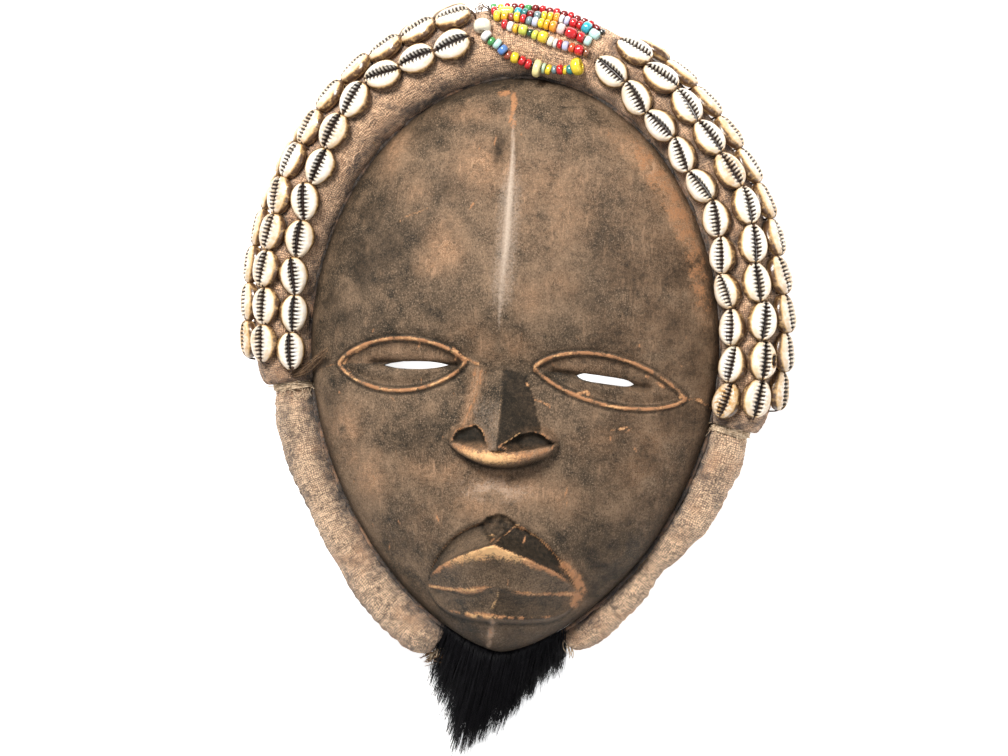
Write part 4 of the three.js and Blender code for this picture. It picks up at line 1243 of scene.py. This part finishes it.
def shell_places(side, row, row_number):
    """Where a row's shells sit: evenly spaced along the roll, backs against the cloth."""
    _, start, end, count = row
    _, low, high, _ = side["rows"][0]

    def lean_at(degrees):
        return value_along(side["leans"], (degrees - low) / (high - low)) + side["row_step"] * row_number

    def spot(degrees, out):
        radius = roll_radius(HEAD_ROLL, degrees)
        return on_roll(degrees, radius, lean_at(degrees), radius + out)

    middle = SHELL["sink"] + SHELL["height"] * SHELL["widest_at"]
    angles = np.linspace(start, end, 201)
    run = run_along(spot(angles, middle))
    pitch = run[-1] / (count - 1)
    degrees = np.interp(np.arange(count) * pitch, run, angles)
    lean = lean_at(degrees)
    out = leaning(degrees, lean)
    along = spot(degrees + 1, middle) - spot(degrees - 1, middle)
    along = unit(along - out * np.sum(along * out, axis=1, keepdims=True))
    position = spot(degrees, SHELL["sink"])
    names = ("position", "out", "side", "along", "degrees", "lean")
    places = zip(position, out, rim_normal(degrees), along, degrees, lean)
    return [{"pitch": pitch, **dict(zip(names, place))} for place in places]


# Half of a shell's section from the middle of its slit to its cut back: share of width and of height
SHELL_SECTION = [
    (0.0, 0.46), (0.045, 0.48), (0.075, 0.66), (0.11, 0.85), (0.18, 0.935), (0.27, 0.975),
    (0.38, 1.0), (0.52, 0.985), (0.67, 0.915), (0.81, 0.79), (0.92, 0.63), (0.985, 0.49),
    (1.0, 0.4), (0.975, 0.25), (0.9, 0.09), (0.8, 0.0),
]
TEETH = 10
# How far the teeth reach over the outer and the inner lip, as a share of half the width
TOOTH_REACH = (0.32, 0.4)


def cowrie(length, width, number, hole=False):
    """A flat-backed cowrie along Y, toothed slit up: points, faces and its colour values."""
    rows = 56
    s = mix(np.linspace(-0.992, 0.992, rows), -np.cos(np.linspace(0.035, 0.965, rows) * np.pi), 0.5)
    section = np.array(SHELL_SECTION)
    share = np.concatenate([-section[:0:-1, 0], section[:, 0]])
    level = np.concatenate([section[:0:-1, 1], section[:, 1]])[None, :]
    half = width / 2 * (1 - np.abs(s) ** 2.2) ** 0.62 * (1 + 0.1 * s)
    tall = (1 - np.abs(s[:, None]) ** 4.2) ** 0.5
    comb = 0.5 - 0.5 * np.cos(np.pi * TEETH * (s + 0.07 * jitter(number, 5)))
    comb = (comb * smooth(0.95, 0.8, np.abs(s)))[:, None]
    grid_s, grid_share = np.meshgrid(s, share, indexing="ij")
    lip = np.abs(grid_share)
    reach = np.where(grid_share > 0, *TOOTH_REACH)
    sharp = smooth(0.25, 0.65, comb)
    teeth = comb * smooth(0.06, 0.1, lip) * smooth(reach + 0.12, reach - 0.02, lip)
    bend = width * (0.05 + 0.05 * (0.6 - s**2) * (1 if number % 3 else 0.4))
    gape = 1 + (0.4 + 0.6 * smooth(0.1, 0.9, grid_s)) * (lip < 0.2)
    x = half[:, None] * grid_share * gape * (1 + 0.3 * teeth * (lip < 0.12))
    x += bend[:, None] * (1 - lip**2)
    y = length / 2 * grid_s
    widest = SHELL["widest_at"] * SHELL["height"]
    z = widest + (level * SHELL["height"] - widest) * tall - 0.42 * teeth
    z += 0.12 * noise2(x * 3, y * 3 + 50 * number, 6, 89) * (lip > 0.15)
    z = np.maximum(z, 0)
    stain = np.clip(smooth(0.1, 0.06, lip) + sharp * smooth(reach + 0.06, reach - 0.08, lip), 0, 1)
    stain = np.maximum(stain, 0.3 * sharp * smooth(0.62, 0.35, lip))
    # Brown towards the edge and dark at the outline, partly the shell's own edge and partly painted shadow
    # round it
    rim = np.maximum(smooth(0.84, 0.94, lip), 0.9 * smooth(0.86, 0.97, np.abs(grid_s)))
    rim = np.maximum(rim, 0.22 * smooth(0.55, 0.85, np.hypot(lip, 0.8 * grid_s)))
    if hole:
        q = np.hypot((grid_share - 0.62) / 0.22, (grid_s - 0.02) / 0.3)
        z -= 3.2 * smooth(1.05, 0.75, q)
        stain = np.maximum(stain, smooth(0.95, 0.7, q))
        rim = np.maximum(rim, smooth(1.5, 1.0, q))
    points = np.stack([-x, y, z], axis=-1).reshape(-1, 3)
    faces = [face[::-1] for face in closed_faces(rows, len(share))]
    return points, faces, stain.ravel(), rim.ravel()


def turned(first, second, degrees):
    """Two axes at right angles, turned from the first towards the second."""
    c, s = math.cos(math.radians(degrees)), math.sin(math.radians(degrees))
    return first * c + second * s, second * c - first * s


def shell_axes(place, turn, tilt, roll):
    """Axes of a shell turned on its seat, tilted end over end and rolled towards the roll's top."""
    across, along = turned(np.cross(place["along"], place["out"]), place["along"], turn)
    along, out = turned(along, place["out"], tilt)
    inwards = -1 if np.dot(across, place["side"]) > 0 else 1
    out, across = turned(out, across, inwards * roll)
    return np.stack([across, along, out], axis=0)


# How brown with age the shells are, by row and number; those not listed are nearly clean
NEARLY_CLEAN = 0.12
AGED = {
    "left_inner": {1: 0.15, 4: 0.25, 7: 0.5, 9: 0.2},
    "left_middle": dict(enumerate([0.5, 0.3, 0.5, 0.6, 0.7, 0.12, 0.6, 0.5, 0.55, 0.4, 0.35, 0.3], 1)),
    "right_inner": {8: 0.35, 11: 1.0},
    "right_middle": {5: 0.7, 8: 0.25, 10: 0.45, 11: 0.5},
}
HOLED = ("right_middle", 10)
# Each shell's end is lifted a little over the next one's, by this many degrees
SHELL_TILT = 5
STITCH_RADIUS = 0.36


def sew_shells(material, thread_material, all_places):
    shell_number = 0
    for side in (LEFT_SIDE, RIGHT_SIDE):
        threads = Batch()
        for row_number, row in enumerate(side["rows"]):
            key = f'{side["name"]}_{row[0]}'
            outer = Batch() if row[0] == "outer" else None
            for n, place in enumerate(all_places[side["name"]][row_number]):
                length = place["pitch"] + SHELL_LAP
                if outer:
                    age = 0.62 + 0.3 * jitter(n, 9)
                    width, turn, roll, number = SHELL["width"], 3 * jitter(n, 11), 6, 100 + n
                else:
                    shell_number += 1
                    number = shell_number
                    age = AGED[key].get(n + 1, NEARLY_CLEAN)
                    width = SHELL["width"] * (1.04 + 0.03 * jitter(number, 2))
                    turn, roll = 12 * jitter(number, 3), 0
                points, faces, stain, rim = cowrie(length, width, number, (key, n + 1) == HOLED)
                points = points @ shell_axes(place, turn, SHELL_TILT, roll) + place["position"]
                batch = outer or Batch()
                batch.add(points, faces, stain=stain, rim=rim, age=age)
                if not outer:
                    name = f"{key}_{n + 1:02d}"
                    batch.piece(f"shell_{name}", material, replaces=[f"cowrie_{name}"], slot="cowrie_shell")
                sew_ends(threads, place, length, number)
            if outer:
                outer.piece(f"shells_{key}", material, replaces=[f"cowrie_row_{key}"], slot="cowrie_shell")
        threads.piece(f'shell_threads_{side["name"]}', thread_material, slot="twine")


def sew_ends(threads, place, length, number):
    """Loops of thread from each end of a shell's slit down into the cloth."""
    across = np.cross(place["along"], place["out"])
    for end in (-1, 1):
        for strand in (-0.6, -0.1, 0.5):
            wobble = 0.5 * jitter(number, 20 + end + strand)

            def spot(along, side, up):
                lengthways = end * along * length * place["along"]
                return place["position"] + lengthways + side * across + up * place["out"]

            start = spot(0.4, 0.25 * strand, SHELL["height"] * 0.72)
            over = spot(0.5, strand + 0.4 * wobble, SHELL["height"] * 0.52)
            foot = spot(0.53, 2.4 * strand + wobble, -0.9)
            t = np.linspace(0, 1, 7)[:, None]
            threads.add(*tube(bent(start, over * 1.5 - (start + foot) * 0.25, foot, t), STITCH_RADIUS, 5))


# Colours of the glass beads
GLASS = {
    "red": (0.55, 0.012, 0.018),
    "dark_red": (0.2, 0.01, 0.012),
    "red_brown": (0.3, 0.06, 0.03),
    "orange_red": (0.7, 0.09, 0.025),
    "orange": (0.86, 0.3, 0.02),
    "yellow": (0.86, 0.6, 0.03),
    "amber": (0.85, 0.43, 0.02),
    "pale_yellow": (0.88, 0.76, 0.33),
    "lime": (0.62, 0.66, 0.09),
    "green": (0.06, 0.32, 0.09),
    "dark_green": (0.02, 0.07, 0.04),
    "pale_green": (0.5, 0.69, 0.48),
    "teal": (0.03, 0.2, 0.2),
    "slate": (0.16, 0.24, 0.26),
    "turquoise": (0.03, 0.43, 0.56),
    "aqua": (0.5, 0.76, 0.7),
    "blue": (0.11, 0.26, 0.62),
    "lavender": (0.56, 0.58, 0.82),
    "white": (0.88, 0.86, 0.82),
    "cream": (0.88, 0.8, 0.62),
    "pink": (0.88, 0.62, 0.56),
    "brown": (0.2, 0.08, 0.04),
    "black": (0.012, 0.012, 0.012),
}

# Each string: its run over the roll, then its beads as colour, length and radius in mm
BEAD_STRINGS = [
    {
        "degrees": [-5, 12],
        "leans": [70, 74, 68, 63, 60, 52],
        "beads": "green 3 1.5, yellow 2.6 1.4, red 2.6 1.5, dark_red 3 1.4, red 2.6 1.5, green 3 1.3, "
        "dark_red 3 1.5, red 2.8 1.5, dark_red 3 1.4, red 3 1.5, dark_red 3 1.4, "
        "red 2.6 1.5, dark_red 3 1.4, dark_red 3 1.3, red 2.6 1.4, dark_red 3 1.3, "
        "black 2.4 1.1",
    },
    {
        "degrees": [-4.6, 11.7],
        "leans": [52, 50, 44, 44, 43, 36],
        "beads": "red 3.2 1.7, lime 9 1.8, turquoise 4 1.7, teal 3 1.7, dark_red 3.4 1.6, "
        "slate 4 1.7, yellow 3 1.9, yellow 3.2 1.9, orange 3 1.9, white 2.4 1.7, "
        "lavender 3 1.8, red 4 1.8, red 3 1.7, turquoise 4.6 2.3, aqua 6 1.7",
    },
    {
        "degrees": [-4.2, 11],
        "leans": [39, 37, 30, 26, 23, 21],
        "beads": "yellow 4 2, amber 4 1.9, red_brown 3 1.6, yellow 3.4 1.9, red 3.4 1.7, "
        "slate 3.4 1.7, lavender 3.4 1.8, yellow 3.4 1.9, amber 3 1.9, orange 4 2, pink 5 2, "
        "red 7 2, red 4.4 2, aqua 4 1.9",
    },
    {
        "degrees": [-3, 11.5],
        "leans": [24, 15, 8, 2, 2, 4],
        "beads": "red 3 1.8, white 3 1.8, amber 2.6 1.7, lime 5 1.9, dark_green 2.4 1.5, lime 3 1.8, "
        "yellow 5.4 2.3, cream 3 1.8, white 2 1.7, red 2.2 1.7, lavender 3.4 1.8, "
        "orange_red 3 1.8, red 4.6 2, brown 3 1.6",
    },
    {
        "degrees": [-5.5, -6, -4.4, -1.6, 2.2, 5.6, 8.4, 11.3],
        "leans": [30, 12, -3, -26, -38, -41, -34, -16],
        "beads": "cream 6.4 3.2, white 4 2.3, green 3 1.8, aqua 3.4 2, blue 4 2, red_brown 3 1.8, "
        "yellow 4.4 2.1, red 3.4 1.8, red 3.4 1.8, black 1.4 1.1, pale_yellow 4 3.4, "
        "pale_green 2 2, yellow 3 1.9, slate 2.8 1.5, red 3.4 1.8, yellow 2 1.7, "
        "teal 3.4 1.9, yellow 5.4 3.3",
    },
]


# Shares of a bead's radius: its drilled hole, and how it bulges at the middle
BEAD_HOLE = 0.38
BEAD_BULGE = 1.02
# How much plumper the beads are than their listed radii, and the gap between two in mm
BEAD_PLUMPNESS = 1.36
BEAD_GAP = 0.25


def bead_form(length, radius, sides=14):
    """A short drilled bead along Z with rounded ends."""
    inner = radius * BEAD_HOLE
    edge = min(radius * 0.55, length * 0.34)
    end = [(inner, 0.25), (inner + 0.05, 0)]
    for turn in np.linspace(0, np.pi / 2, 4):
        end.append((radius - edge * (1 - math.sin(turn)), edge * (1 - math.cos(turn))))
    profile = [(r, rise - length / 2) for r, rise in end] + [(radius * BEAD_BULGE, 0)]
    profile += [(r, length / 2 - rise) for r, rise in end[::-1]]
    r, h = np.array(profile).T[:, :, None]
    around = np.arange(sides) / sides * 2 * np.pi
    points = np.stack([r * np.cos(around), r * np.sin(around), h + 0 * around], axis=-1).reshape(-1, 3)
    last = len(points) - sides
    faces = grid_faces(len(profile), sides, wrap=True)
    for k in range(sides):
        n = (k + 1) % sides
        faces.append([last + k, last + n, n, k])
    return points, faces


def string_beads(material, thread_material):
    rng = np.random.default_rng(97)
    thread = Batch()
    for number, string in enumerate(BEAD_STRINGS, 1):
        beads = [word.split() for word in string["beads"].split(",")]
        t = np.linspace(0, 1, 240)
        degrees = np.interp(t, np.linspace(0, 1, len(string["degrees"])), string["degrees"])
        lean = value_along(string["leans"], t)
        cloth = roll_radius(HEAD_ROLL, degrees)
        line = on_roll(degrees, cloth, lean, cloth + 0.4)
        out = leaning(degrees, lean)
        run = run_along(line)
        scale = run[-1] / sum(float(length) + BEAD_GAP for _, length, _ in beads)

        def at_run(place, rows):
            return np.array([np.interp(place, run, column) for column in rows.T])

        batch = Batch()
        knots = []
        at = 0
        for colour, length, radius in beads:
            length = float(length) * scale
            radius = float(radius) * BEAD_PLUMPNESS * rng.uniform(0.95, 1.04)
            middle = at + length / 2 + 0.12 * scale
            at += length + BEAD_GAP * scale
            axis = unit(at_run(middle + 0.6, line) - at_run(middle - 0.6, line))
            centre = at_run(middle, line) + at_run(middle, out) * radius
            axis = unit(axis + rng.normal(0, 0.06, 3))
            side = unit(np.cross(axis, [0.0, 0.0, 1.0]))
            points, faces = bead_form(length * rng.uniform(0.94, 1.0), radius)
            points = points @ np.stack([side, np.cross(axis, side), axis], axis=0) + centre
            tone = np.array(GLASS[colour]) * rng.uniform(0.9, 1.15)
            batch.add(points, faces, glass=np.clip(tone, 0, 1), grime=0.25)
            knots.append(centre)
        node = f"bead_string_{number}"
        batch.piece(f"bead_strand_{number}", material, replaces=[node], slot="glass_beads", sharp=50)
        thread.add(*tube([line[0] - out[0] * 1.2, *knots, line[-1] - out[-1] * 1.2], 0.3, 6))
        for _ in range(7):
            strand = loose_end(rng, line[0] + out[0] * 0.8, 1, (-0.9, 0.5, 0.2), (2, 5), 5, (1, 1, 2))
            thread.add(*tube(strand, 0.2, 4))
    thread.piece("bead_threads", thread_material, slot="twine")


def gathered_collar(side, material, seed):
    """Gathered cloth and twine wound round the neck between two rolls, with frayed ends."""
    rng = np.random.default_rng(seed)
    batch = Batch()
    start, end, radius = COLLARS[side]
    rows, sides = 9, 96
    deg, lean = np.meshgrid(np.linspace(start, end, rows), np.arange(sides) / sides * 360, indexing="ij")
    t = np.linspace(0, 1, rows)[:, None]
    folds = np.cos(np.radians(lean) * 13 + 2.2 * noise2(lean, t + 0 * lean, 37, seed))
    body = on_roll(deg, radius, lean, radius * (0.93 + 0.05 * np.sin(np.pi * t) + 0.035 * folds))
    body[..., 2] = np.maximum(body[..., 2], 0.3)
    batch.add(body, closed_faces(rows, sides))
    turns = 3
    t = np.linspace(0, 1, turns * 40)
    path = on_roll(mix(start, end, 0.15 + 0.7 * t), radius, t * turns * 360, radius + 0.1)
    path[:, 2] = np.maximum(path[:, 2], 0.6)
    batch.add(*tube(path, 0.55, 8))
    for _ in range(60):
        place = (start + end) / 2 + rng.uniform(-1.6, 1.6)
        root = on_roll(place, radius, rng.uniform(-80, 60), radius + 0.3)
        strand = loose_end(rng, root, 1, (0, -0.3, 0.4), (2, 7), 6)
        strand[:, 2] = np.maximum(strand[:, 2], 0.4)
        batch.add(*tube(strand, 0.15, 4))
    return batch.piece(f"twine_collar_{side}", material, replaces=[f"temple_tie_{side}"], slot="twine")


# Loose plant fibres at the seams: a path, how many strands, and how far they stray
BROWN_FIBRES = [
    (
        [(-114, -10.2, 23), (-107.6, -8.9, 26.5), (-101.6, -6.6, 27), (-93.7, -0.8, 35), (-89.2, 2.3, 41)],
        36,
        0.9,
    ),
    ([(-83.6, 115.4, 24.5), (-78, 110, 27), (-72.3, 105.6, 28)], 16, 0.7),
    ([(-24, 172.9, 24), (-22, 178.4, 20)], 12, 0.8),
    ([(119, -14, 16), (113, -19, 20), (109, -24, 18)], 30, 1.6),
    ([(-40, -149, 9), (-34, -146, 10), (-28, -148, 9)], 24, 1.4),
]
PALE_FIBRES = [
    ([(-123.1, -12.1, 15), (-118.3, -12.9, 21.5), (-112, -13.3, 23), (-106.9, -13.3, 22.5)], 16, 0.5),
    ([(-37.5, -148.3, 8), (-32.6, -143.8, 12)], 26, 1.2),
    ([(-31.3, -142, 12), (-26, -145, 10), (-20.6, -148.2, 8)], 6, 0.4),
    ([(-22, -144, 11), (-19.8, -146, 10)], 6, 0.4),
    ([(27.8, -131.3, 13), (23.5, -138, 12), (19.8, -146.6, 9)], 7, 0.6),
    ([(32, -134, 12), (34.5, -143, 8)], 10, 0.9),
]


def lay_fibres(name, bundles, material, seed):
    rng = np.random.default_rng(seed)
    batch = Batch()
    for path, count, stray in bundles:
        path = np.array(path, dtype=float)
        knots = np.linspace(0, 1, len(path))
        for _ in range(count):
            t = np.linspace(rng.uniform(-0.1, 0.3), rng.uniform(0.6, 1.1), 9)
            strand = np.stack([np.interp(t, knots, path[:, k]) for k in range(3)], axis=-1)
            beyond = (t - np.clip(t, 0, 1))[:, None] * (path[-1] - path[0])
            bow = np.sin(np.pi * np.linspace(0, 1, 9))[:, None] * rng.normal(0, 0.8, 3) * stray
            strand = strand + beyond + bow + rng.normal(0, 1, 3) * (stray, stray, 0.4 * stray)
            strand[:, 2] = np.maximum(strand[:, 2], 0.4)
            batch.add(*tube(strand, rng.uniform(0.11, 0.24), 4))
    return batch.piece(name, material, slot="twine")


def beard(material):
    """Coarse black hair: a dark core and many strands swept towards the viewer's left."""
    rng = np.random.default_rng(101)
    tips = np.array(BEARD_TIPS, dtype=float)
    shares = np.linspace(0, 1, len(tips))
    batch = Batch()
    steps = 9
    s = np.linspace(0, 1, steps)[:, None]
    locks = rng.normal(0, 1, (BEARD["locks"], 3)) * (1.3, 1.1, 0.03)
    for _ in range(BEARD["strands"]):
        u = rng.uniform(0, 1)
        lock = locks[int(u * BEARD["locks"])]
        u = mix(u, (int(u * BEARD["locks"]) + 0.5) / BEARD["locks"], 0.25)
        degrees = mix(BEARD["from"], BEARD["to"], u)
        high = rng.uniform() < 0.3
        root = rim_point(degrees + (u - 0.5) * rng.uniform(-7, 0))
        root += rim_normal(degrees) * (rng.uniform(-0.4, 0.6) if high else rng.uniform(0.2, 2.5))
        root[2] = rng.uniform(14.5, 18) if high else rng.uniform(2, 15)
        tip = np.array([*(np.interp(u, shares, column) for column in tips.T), rng.uniform(0.8, 5)])
        tip[:2] += rng.normal(0, 1.0, 2) + lock[:2]
        wisp = rng.uniform() < 0.06
        tip = mix(root, tip, rng.uniform(0.95, 1.16) if wisp else rng.beta(6, 1.6) * (1.06 + lock[2]))
        tip[:2] += rng.normal(0, 2.5, 2) * wisp
        tip[2] = max(0.5, tip[2])
        bow = np.array([rng.normal(0, 1.2), rng.normal(0, 1) - rng.uniform(0, 5) * u, 0])
        middle = (root + tip) / 2 + bow
        middle[2] = mix(root[2], tip[2], 0.35) + rng.uniform(0, 3)
        path = bent(root, middle, tip, s)
        path += rng.normal(0, 0.12, path.shape) * s
        path[:, 2] = np.maximum(path[:, 2], 0.2)
        batch.add(*tube(path, np.linspace(0.22, 0.05 if wisp else 0.08, steps), 3))
    rings = []
    for share, tip in zip(shares, tips):
        degrees = mix(BEARD["from"], BEARD["to"], share)
        root = (rim_point(degrees) + rim_normal(degrees) * 0.8)[:2]
        root[0] += (share - 0.5) * 10
        end = mix(root, tip, 0.72)
        half = (root + end) / 2
        rings.append([(*root, 3), (*root, 13.5), (*half, 10), (*end, 4), (*end, 1.5)])
    batch.add(np.array(rings), closed_faces(len(rings), 5))
    return batch.piece("beard_hair", material, replaces=["beard"], slot="black_hair")


def add_camera():
    data = bpy.data.cameras.new("camera")
    data.sensor_width = SENSOR_WIDTH
    data.lens = SENSOR_WIDTH * FOCAL_PIXELS / IMAGE_WIDTH
    data.shift_x = -AIM_RIGHT_OF_CENTRE / IMAGE_WIDTH
    data.shift_y = -AIM_ABOVE_CENTRE / IMAGE_WIDTH
    camera = bpy.data.objects.new("camera", data)
    bpy.context.scene.collection.objects.link(camera)
    cos_yaw, sin_yaw = math.cos(CAMERA_YAW), math.sin(CAMERA_YAW)
    cos_lean, sin_lean = math.cos(CAMERA_LEAN), math.sin(CAMERA_LEAN)
    right = np.array([cos_yaw * cos_lean, cos_yaw * sin_lean, -sin_yaw])
    up = np.array([-sin_lean, cos_lean, 0])
    back = np.cross(right, up)
    matrix = np.eye(4)
    matrix[:3, 0], matrix[:3, 1], matrix[:3, 2] = right, up, back
    matrix[:3, 3] = put_in_frame(back * CAMERA_DISTANCE)
    camera.matrix_world = Matrix(matrix.tolist())
    bpy.context.scene.camera = camera


def add_light(name, place, size, power, colour, target=(0, 0, 0.03)):
    data = bpy.data.lights.new(name, "AREA")
    data.size = size
    data.energy = power
    data.color = colour
    light = bpy.data.objects.new(name, data)
    light.location = place
    aim = np.array(target) - np.array(place)
    light.rotation_mode = "QUATERNION"
    light.rotation_quaternion = Vector(aim.tolist()).to_track_quat("-Z", "Y")
    bpy.context.scene.collection.objects.link(light)


# How far the table reaches each way, in metres
TABLE_REACH = 4.0


def add_studio():
    """A pale table that glows a little, as a light table does, and soft light from the upper left."""
    scene = bpy.context.scene
    scene.view_settings.view_transform = "Standard"
    world = bpy.data.worlds.new("studio")
    world.use_nodes = True
    sky = world.node_tree.nodes["Background"]
    sky.inputs["Color"].default_value = (0.95, 0.97, 1, 1)
    sky.inputs["Strength"].default_value = 0.38
    scene.world = world
    add_light("key", (-0.25, 0.85, 1.3), size=0.5, power=38, colour=(1, 0.97, 0.93))
    add_light("fill", (0.9, -0.3, 1.1), size=0.9, power=4.2, colour=(0.95, 0.97, 1))
    # A small lamp in the hollow keeps the table bright behind the eye slits
    add_light("hollow", (0, 0.01, 0.03), size=0.09, power=0.03, colour=(1, 1, 1), target=(0, 0.01, 0))
    paint = Paint("pale_table", roughness=0.9)
    pale = paint.span(paint.noise(6), 0.3, 0.7)
    paint.finish(paint.mixed(pale, (0.9, 0.9, 0.9), (0.94, 0.94, 0.94)))
    paint.shader.inputs["Emission Color"].default_value = (1, 1, 1, 1)
    paint.shader.inputs["Emission Strength"].default_value = 0.7
    mesh = bpy.data.meshes.new("table")
    corners = [(-1, -1), (1, -1), (1, 1), (-1, 1)]
    mesh.from_pydata([(x * TABLE_REACH, y * TABLE_REACH, 0) for x, y in corners], [], [[0, 1, 2, 3]])
    mesh.materials.append(paint.material)
    table = bpy.data.objects.new("table", mesh)
    scene.collection.objects.link(table)


def shell_distance(shell_rows, lean, degrees):
    """Distance over the cloth to the middle of the nearest shell."""
    nearest = np.inf
    for rows in shell_rows.values():
        for place in sum(rows, []):
            run = np.radians(degrees - place["degrees"]) * ROLL_DISTANCE
            side = np.radians(around_zero(lean) - place["lean"]) * roll_radius(HEAD_ROLL, degrees)
            nearest = np.minimum(nearest, np.hypot(run, side))
    return nearest


def head_relief(shell_rows):
    """Stuffing pushed up between the sewn-down shells, lumps and fine creases."""

    def relief(along, lean, degrees):
        lumps = 0.5 * noise2(along, lean / 4, 16, 103) + 0.3 * noise2(along, lean / 4, 6, 107)
        ribs = 0.12 * np.sin(2 * np.pi * (along + 1.5 * noise2(along, lean / 4, 9, 105)) / 2.6)
        ribs *= np.clip(0.4 + noise2(along, lean / 5, 14, 109), 0, 1)
        nearest = shell_distance(shell_rows, lean, degrees)
        return lumps + ribs + 0.9 * smooth(5, 10, nearest) * (nearest < 30)

    return relief


def head_dirt_and_shade(shell_rows):
    def dirt_and_shade(along, lean, degrees):
        # Dirt and painted shade on the side against the wood, and painted shadow round each shell; the ends
        # are dirtier
        dirt_and_shade_by_wood = near_wood(lean) * np.clip(0.7 + 0.7 * noise2(along, lean, 14, 109), 0, 1)
        under = 0.7 * smooth(10, 7, shell_distance(shell_rows, lean, degrees))
        to_end = np.minimum(degrees - HEAD_ROLL["from"], HEAD_ROLL["to"] - degrees)
        at_end = 0.75 * smooth(8, 2, to_end) * np.clip(0.8 + 0.5 * noise2(along, lean / 4, 6, 110), 0, 1)
        return np.clip(np.maximum(np.maximum(dirt_and_shade_by_wood, under), at_end), 0, 1)

    return dirt_and_shade


def cheek_relief(seed):
    def relief(along, lean, degrees):
        lumps = 0.6 * noise2(along, lean / 5, 15, seed) + 0.3 * noise2(along, lean / 5, 5, seed + 1)
        bent = along + 1.4 * noise2(along, lean / 4, 12, seed + 2) + 2.5 * np.cos(np.radians(lean))
        for height, step, patch, salt in ((0.35, 5.5, 22, 3), (0.2, 2.4, 9, 4)):
            there = np.clip(0.3 + noise2(along, lean / 5, patch, seed + salt), 0, 1)
            lumps += height * np.sin(2 * np.pi * bent / step) * there
        return lumps

    return relief


def cheek_dirt_and_shade(seed, amount):
    def dirt_and_shade(along, lean, degrees):
        # Dirt and painted shade on the side against the wood, and more painted shade over the whole inner
        # side
        dirt_and_shade_by_wood = near_wood(lean) * np.clip(0.7 + 0.6 * noise2(along, lean, 12, seed), 0, 1)
        dirt_and_shade_by_wood += 0.56 * amount * hump(around_zero(lean - 300), 60)
        smudge = amount * np.clip(noise2(along, lean / 3, 18, seed + 1) - 0.1, 0, 1)
        return np.clip(np.maximum(dirt_and_shade_by_wood, smudge), 0, 1)

    return dirt_and_shade


def rusty_end(along, length):
    """The right cheek roll's red-brown end at the chin."""
    return 0.9 * smooth(length - 2.5, length - 0.5, along)


add_camera()
add_studio()

wood = wood_material()
cloth = cloth_material("tan_cloth", (1.0, 0.64, 0.39), (0.4, 0.225, 0.125))
pale_cloth = cloth_material("pale_cloth", (1.0, 0.69, 0.44), (0.34, 0.215, 0.14))
# Near black: the hem, and painted shade in the crevices
hem_and_shade_cloth = cloth_material("hem_and_shade_cloth", (0.06, 0.038, 0.024), (0.018, 0.012, 0.009))
brown_twine = twine_material("brown_twine", (0.26, 0.155, 0.08), (0.07, 0.04, 0.022))
pale_twine = twine_material("pale_twine", (0.76, 0.6, 0.42), (0.38, 0.26, 0.16))
dark_thread = twine_material("dark_thread", (0.13, 0.07, 0.04), (0.034, 0.019, 0.012))
shells = shell_material()
glass = bead_material()
hair = hair_material()

carved_face(wood)

shell_rows = {
    side["name"]: [shell_places(side, row, n) for n, row in enumerate(side["rows"])]
    for side in (LEFT_SIDE, RIGHT_SIDE)
}
relief, dirt_and_shade = head_relief(shell_rows), head_dirt_and_shade(shell_rows)
stuffed_roll("cloth_head_roll", HEAD_ROLL, cloth, "head_roll", relief, dirt_and_shade, 96)
for side, form, relief, dirt_and_shade, sides, tint in (
    ("left", CHEEK_ROLL_LEFT, cheek_relief(113), cheek_dirt_and_shade(127, 0.8), 72, None),
    ("right", CHEEK_ROLL_RIGHT, cheek_relief(131), cheek_dirt_and_shade(139, 0.5), 64, rusty_end),
):
    node = f"cheek_roll_{side}"
    stuffed_roll(f"cloth_{node}", form, pale_cloth, node, relief, dirt_and_shade, sides, tint)
# Dark cords in the crevices between rolls and wood: hems, and painted shade
hem_and_shade_cord("hem_and_shade_head", HEAD_ROLL, hem_and_shade_cloth, 151)
hem_and_shade_cord("hem_and_shade_cheek_left", CHEEK_ROLL_LEFT, hem_and_shade_cloth, 157)
hem_and_shade_cord("hem_and_shade_cheek_right", CHEEK_ROLL_RIGHT, hem_and_shade_cloth, 163)
gathered_collar("left", pale_twine, 3)
gathered_collar("right", pale_twine, 5)
lay_fibres("brown_fibres", BROWN_FIBRES, brown_twine, 167)
lay_fibres("pale_fibres", PALE_FIBRES, pale_twine, 173)
sew_shells(shells, dark_thread, shell_rows)
string_beads(glass, dark_thread)
beard(hair)
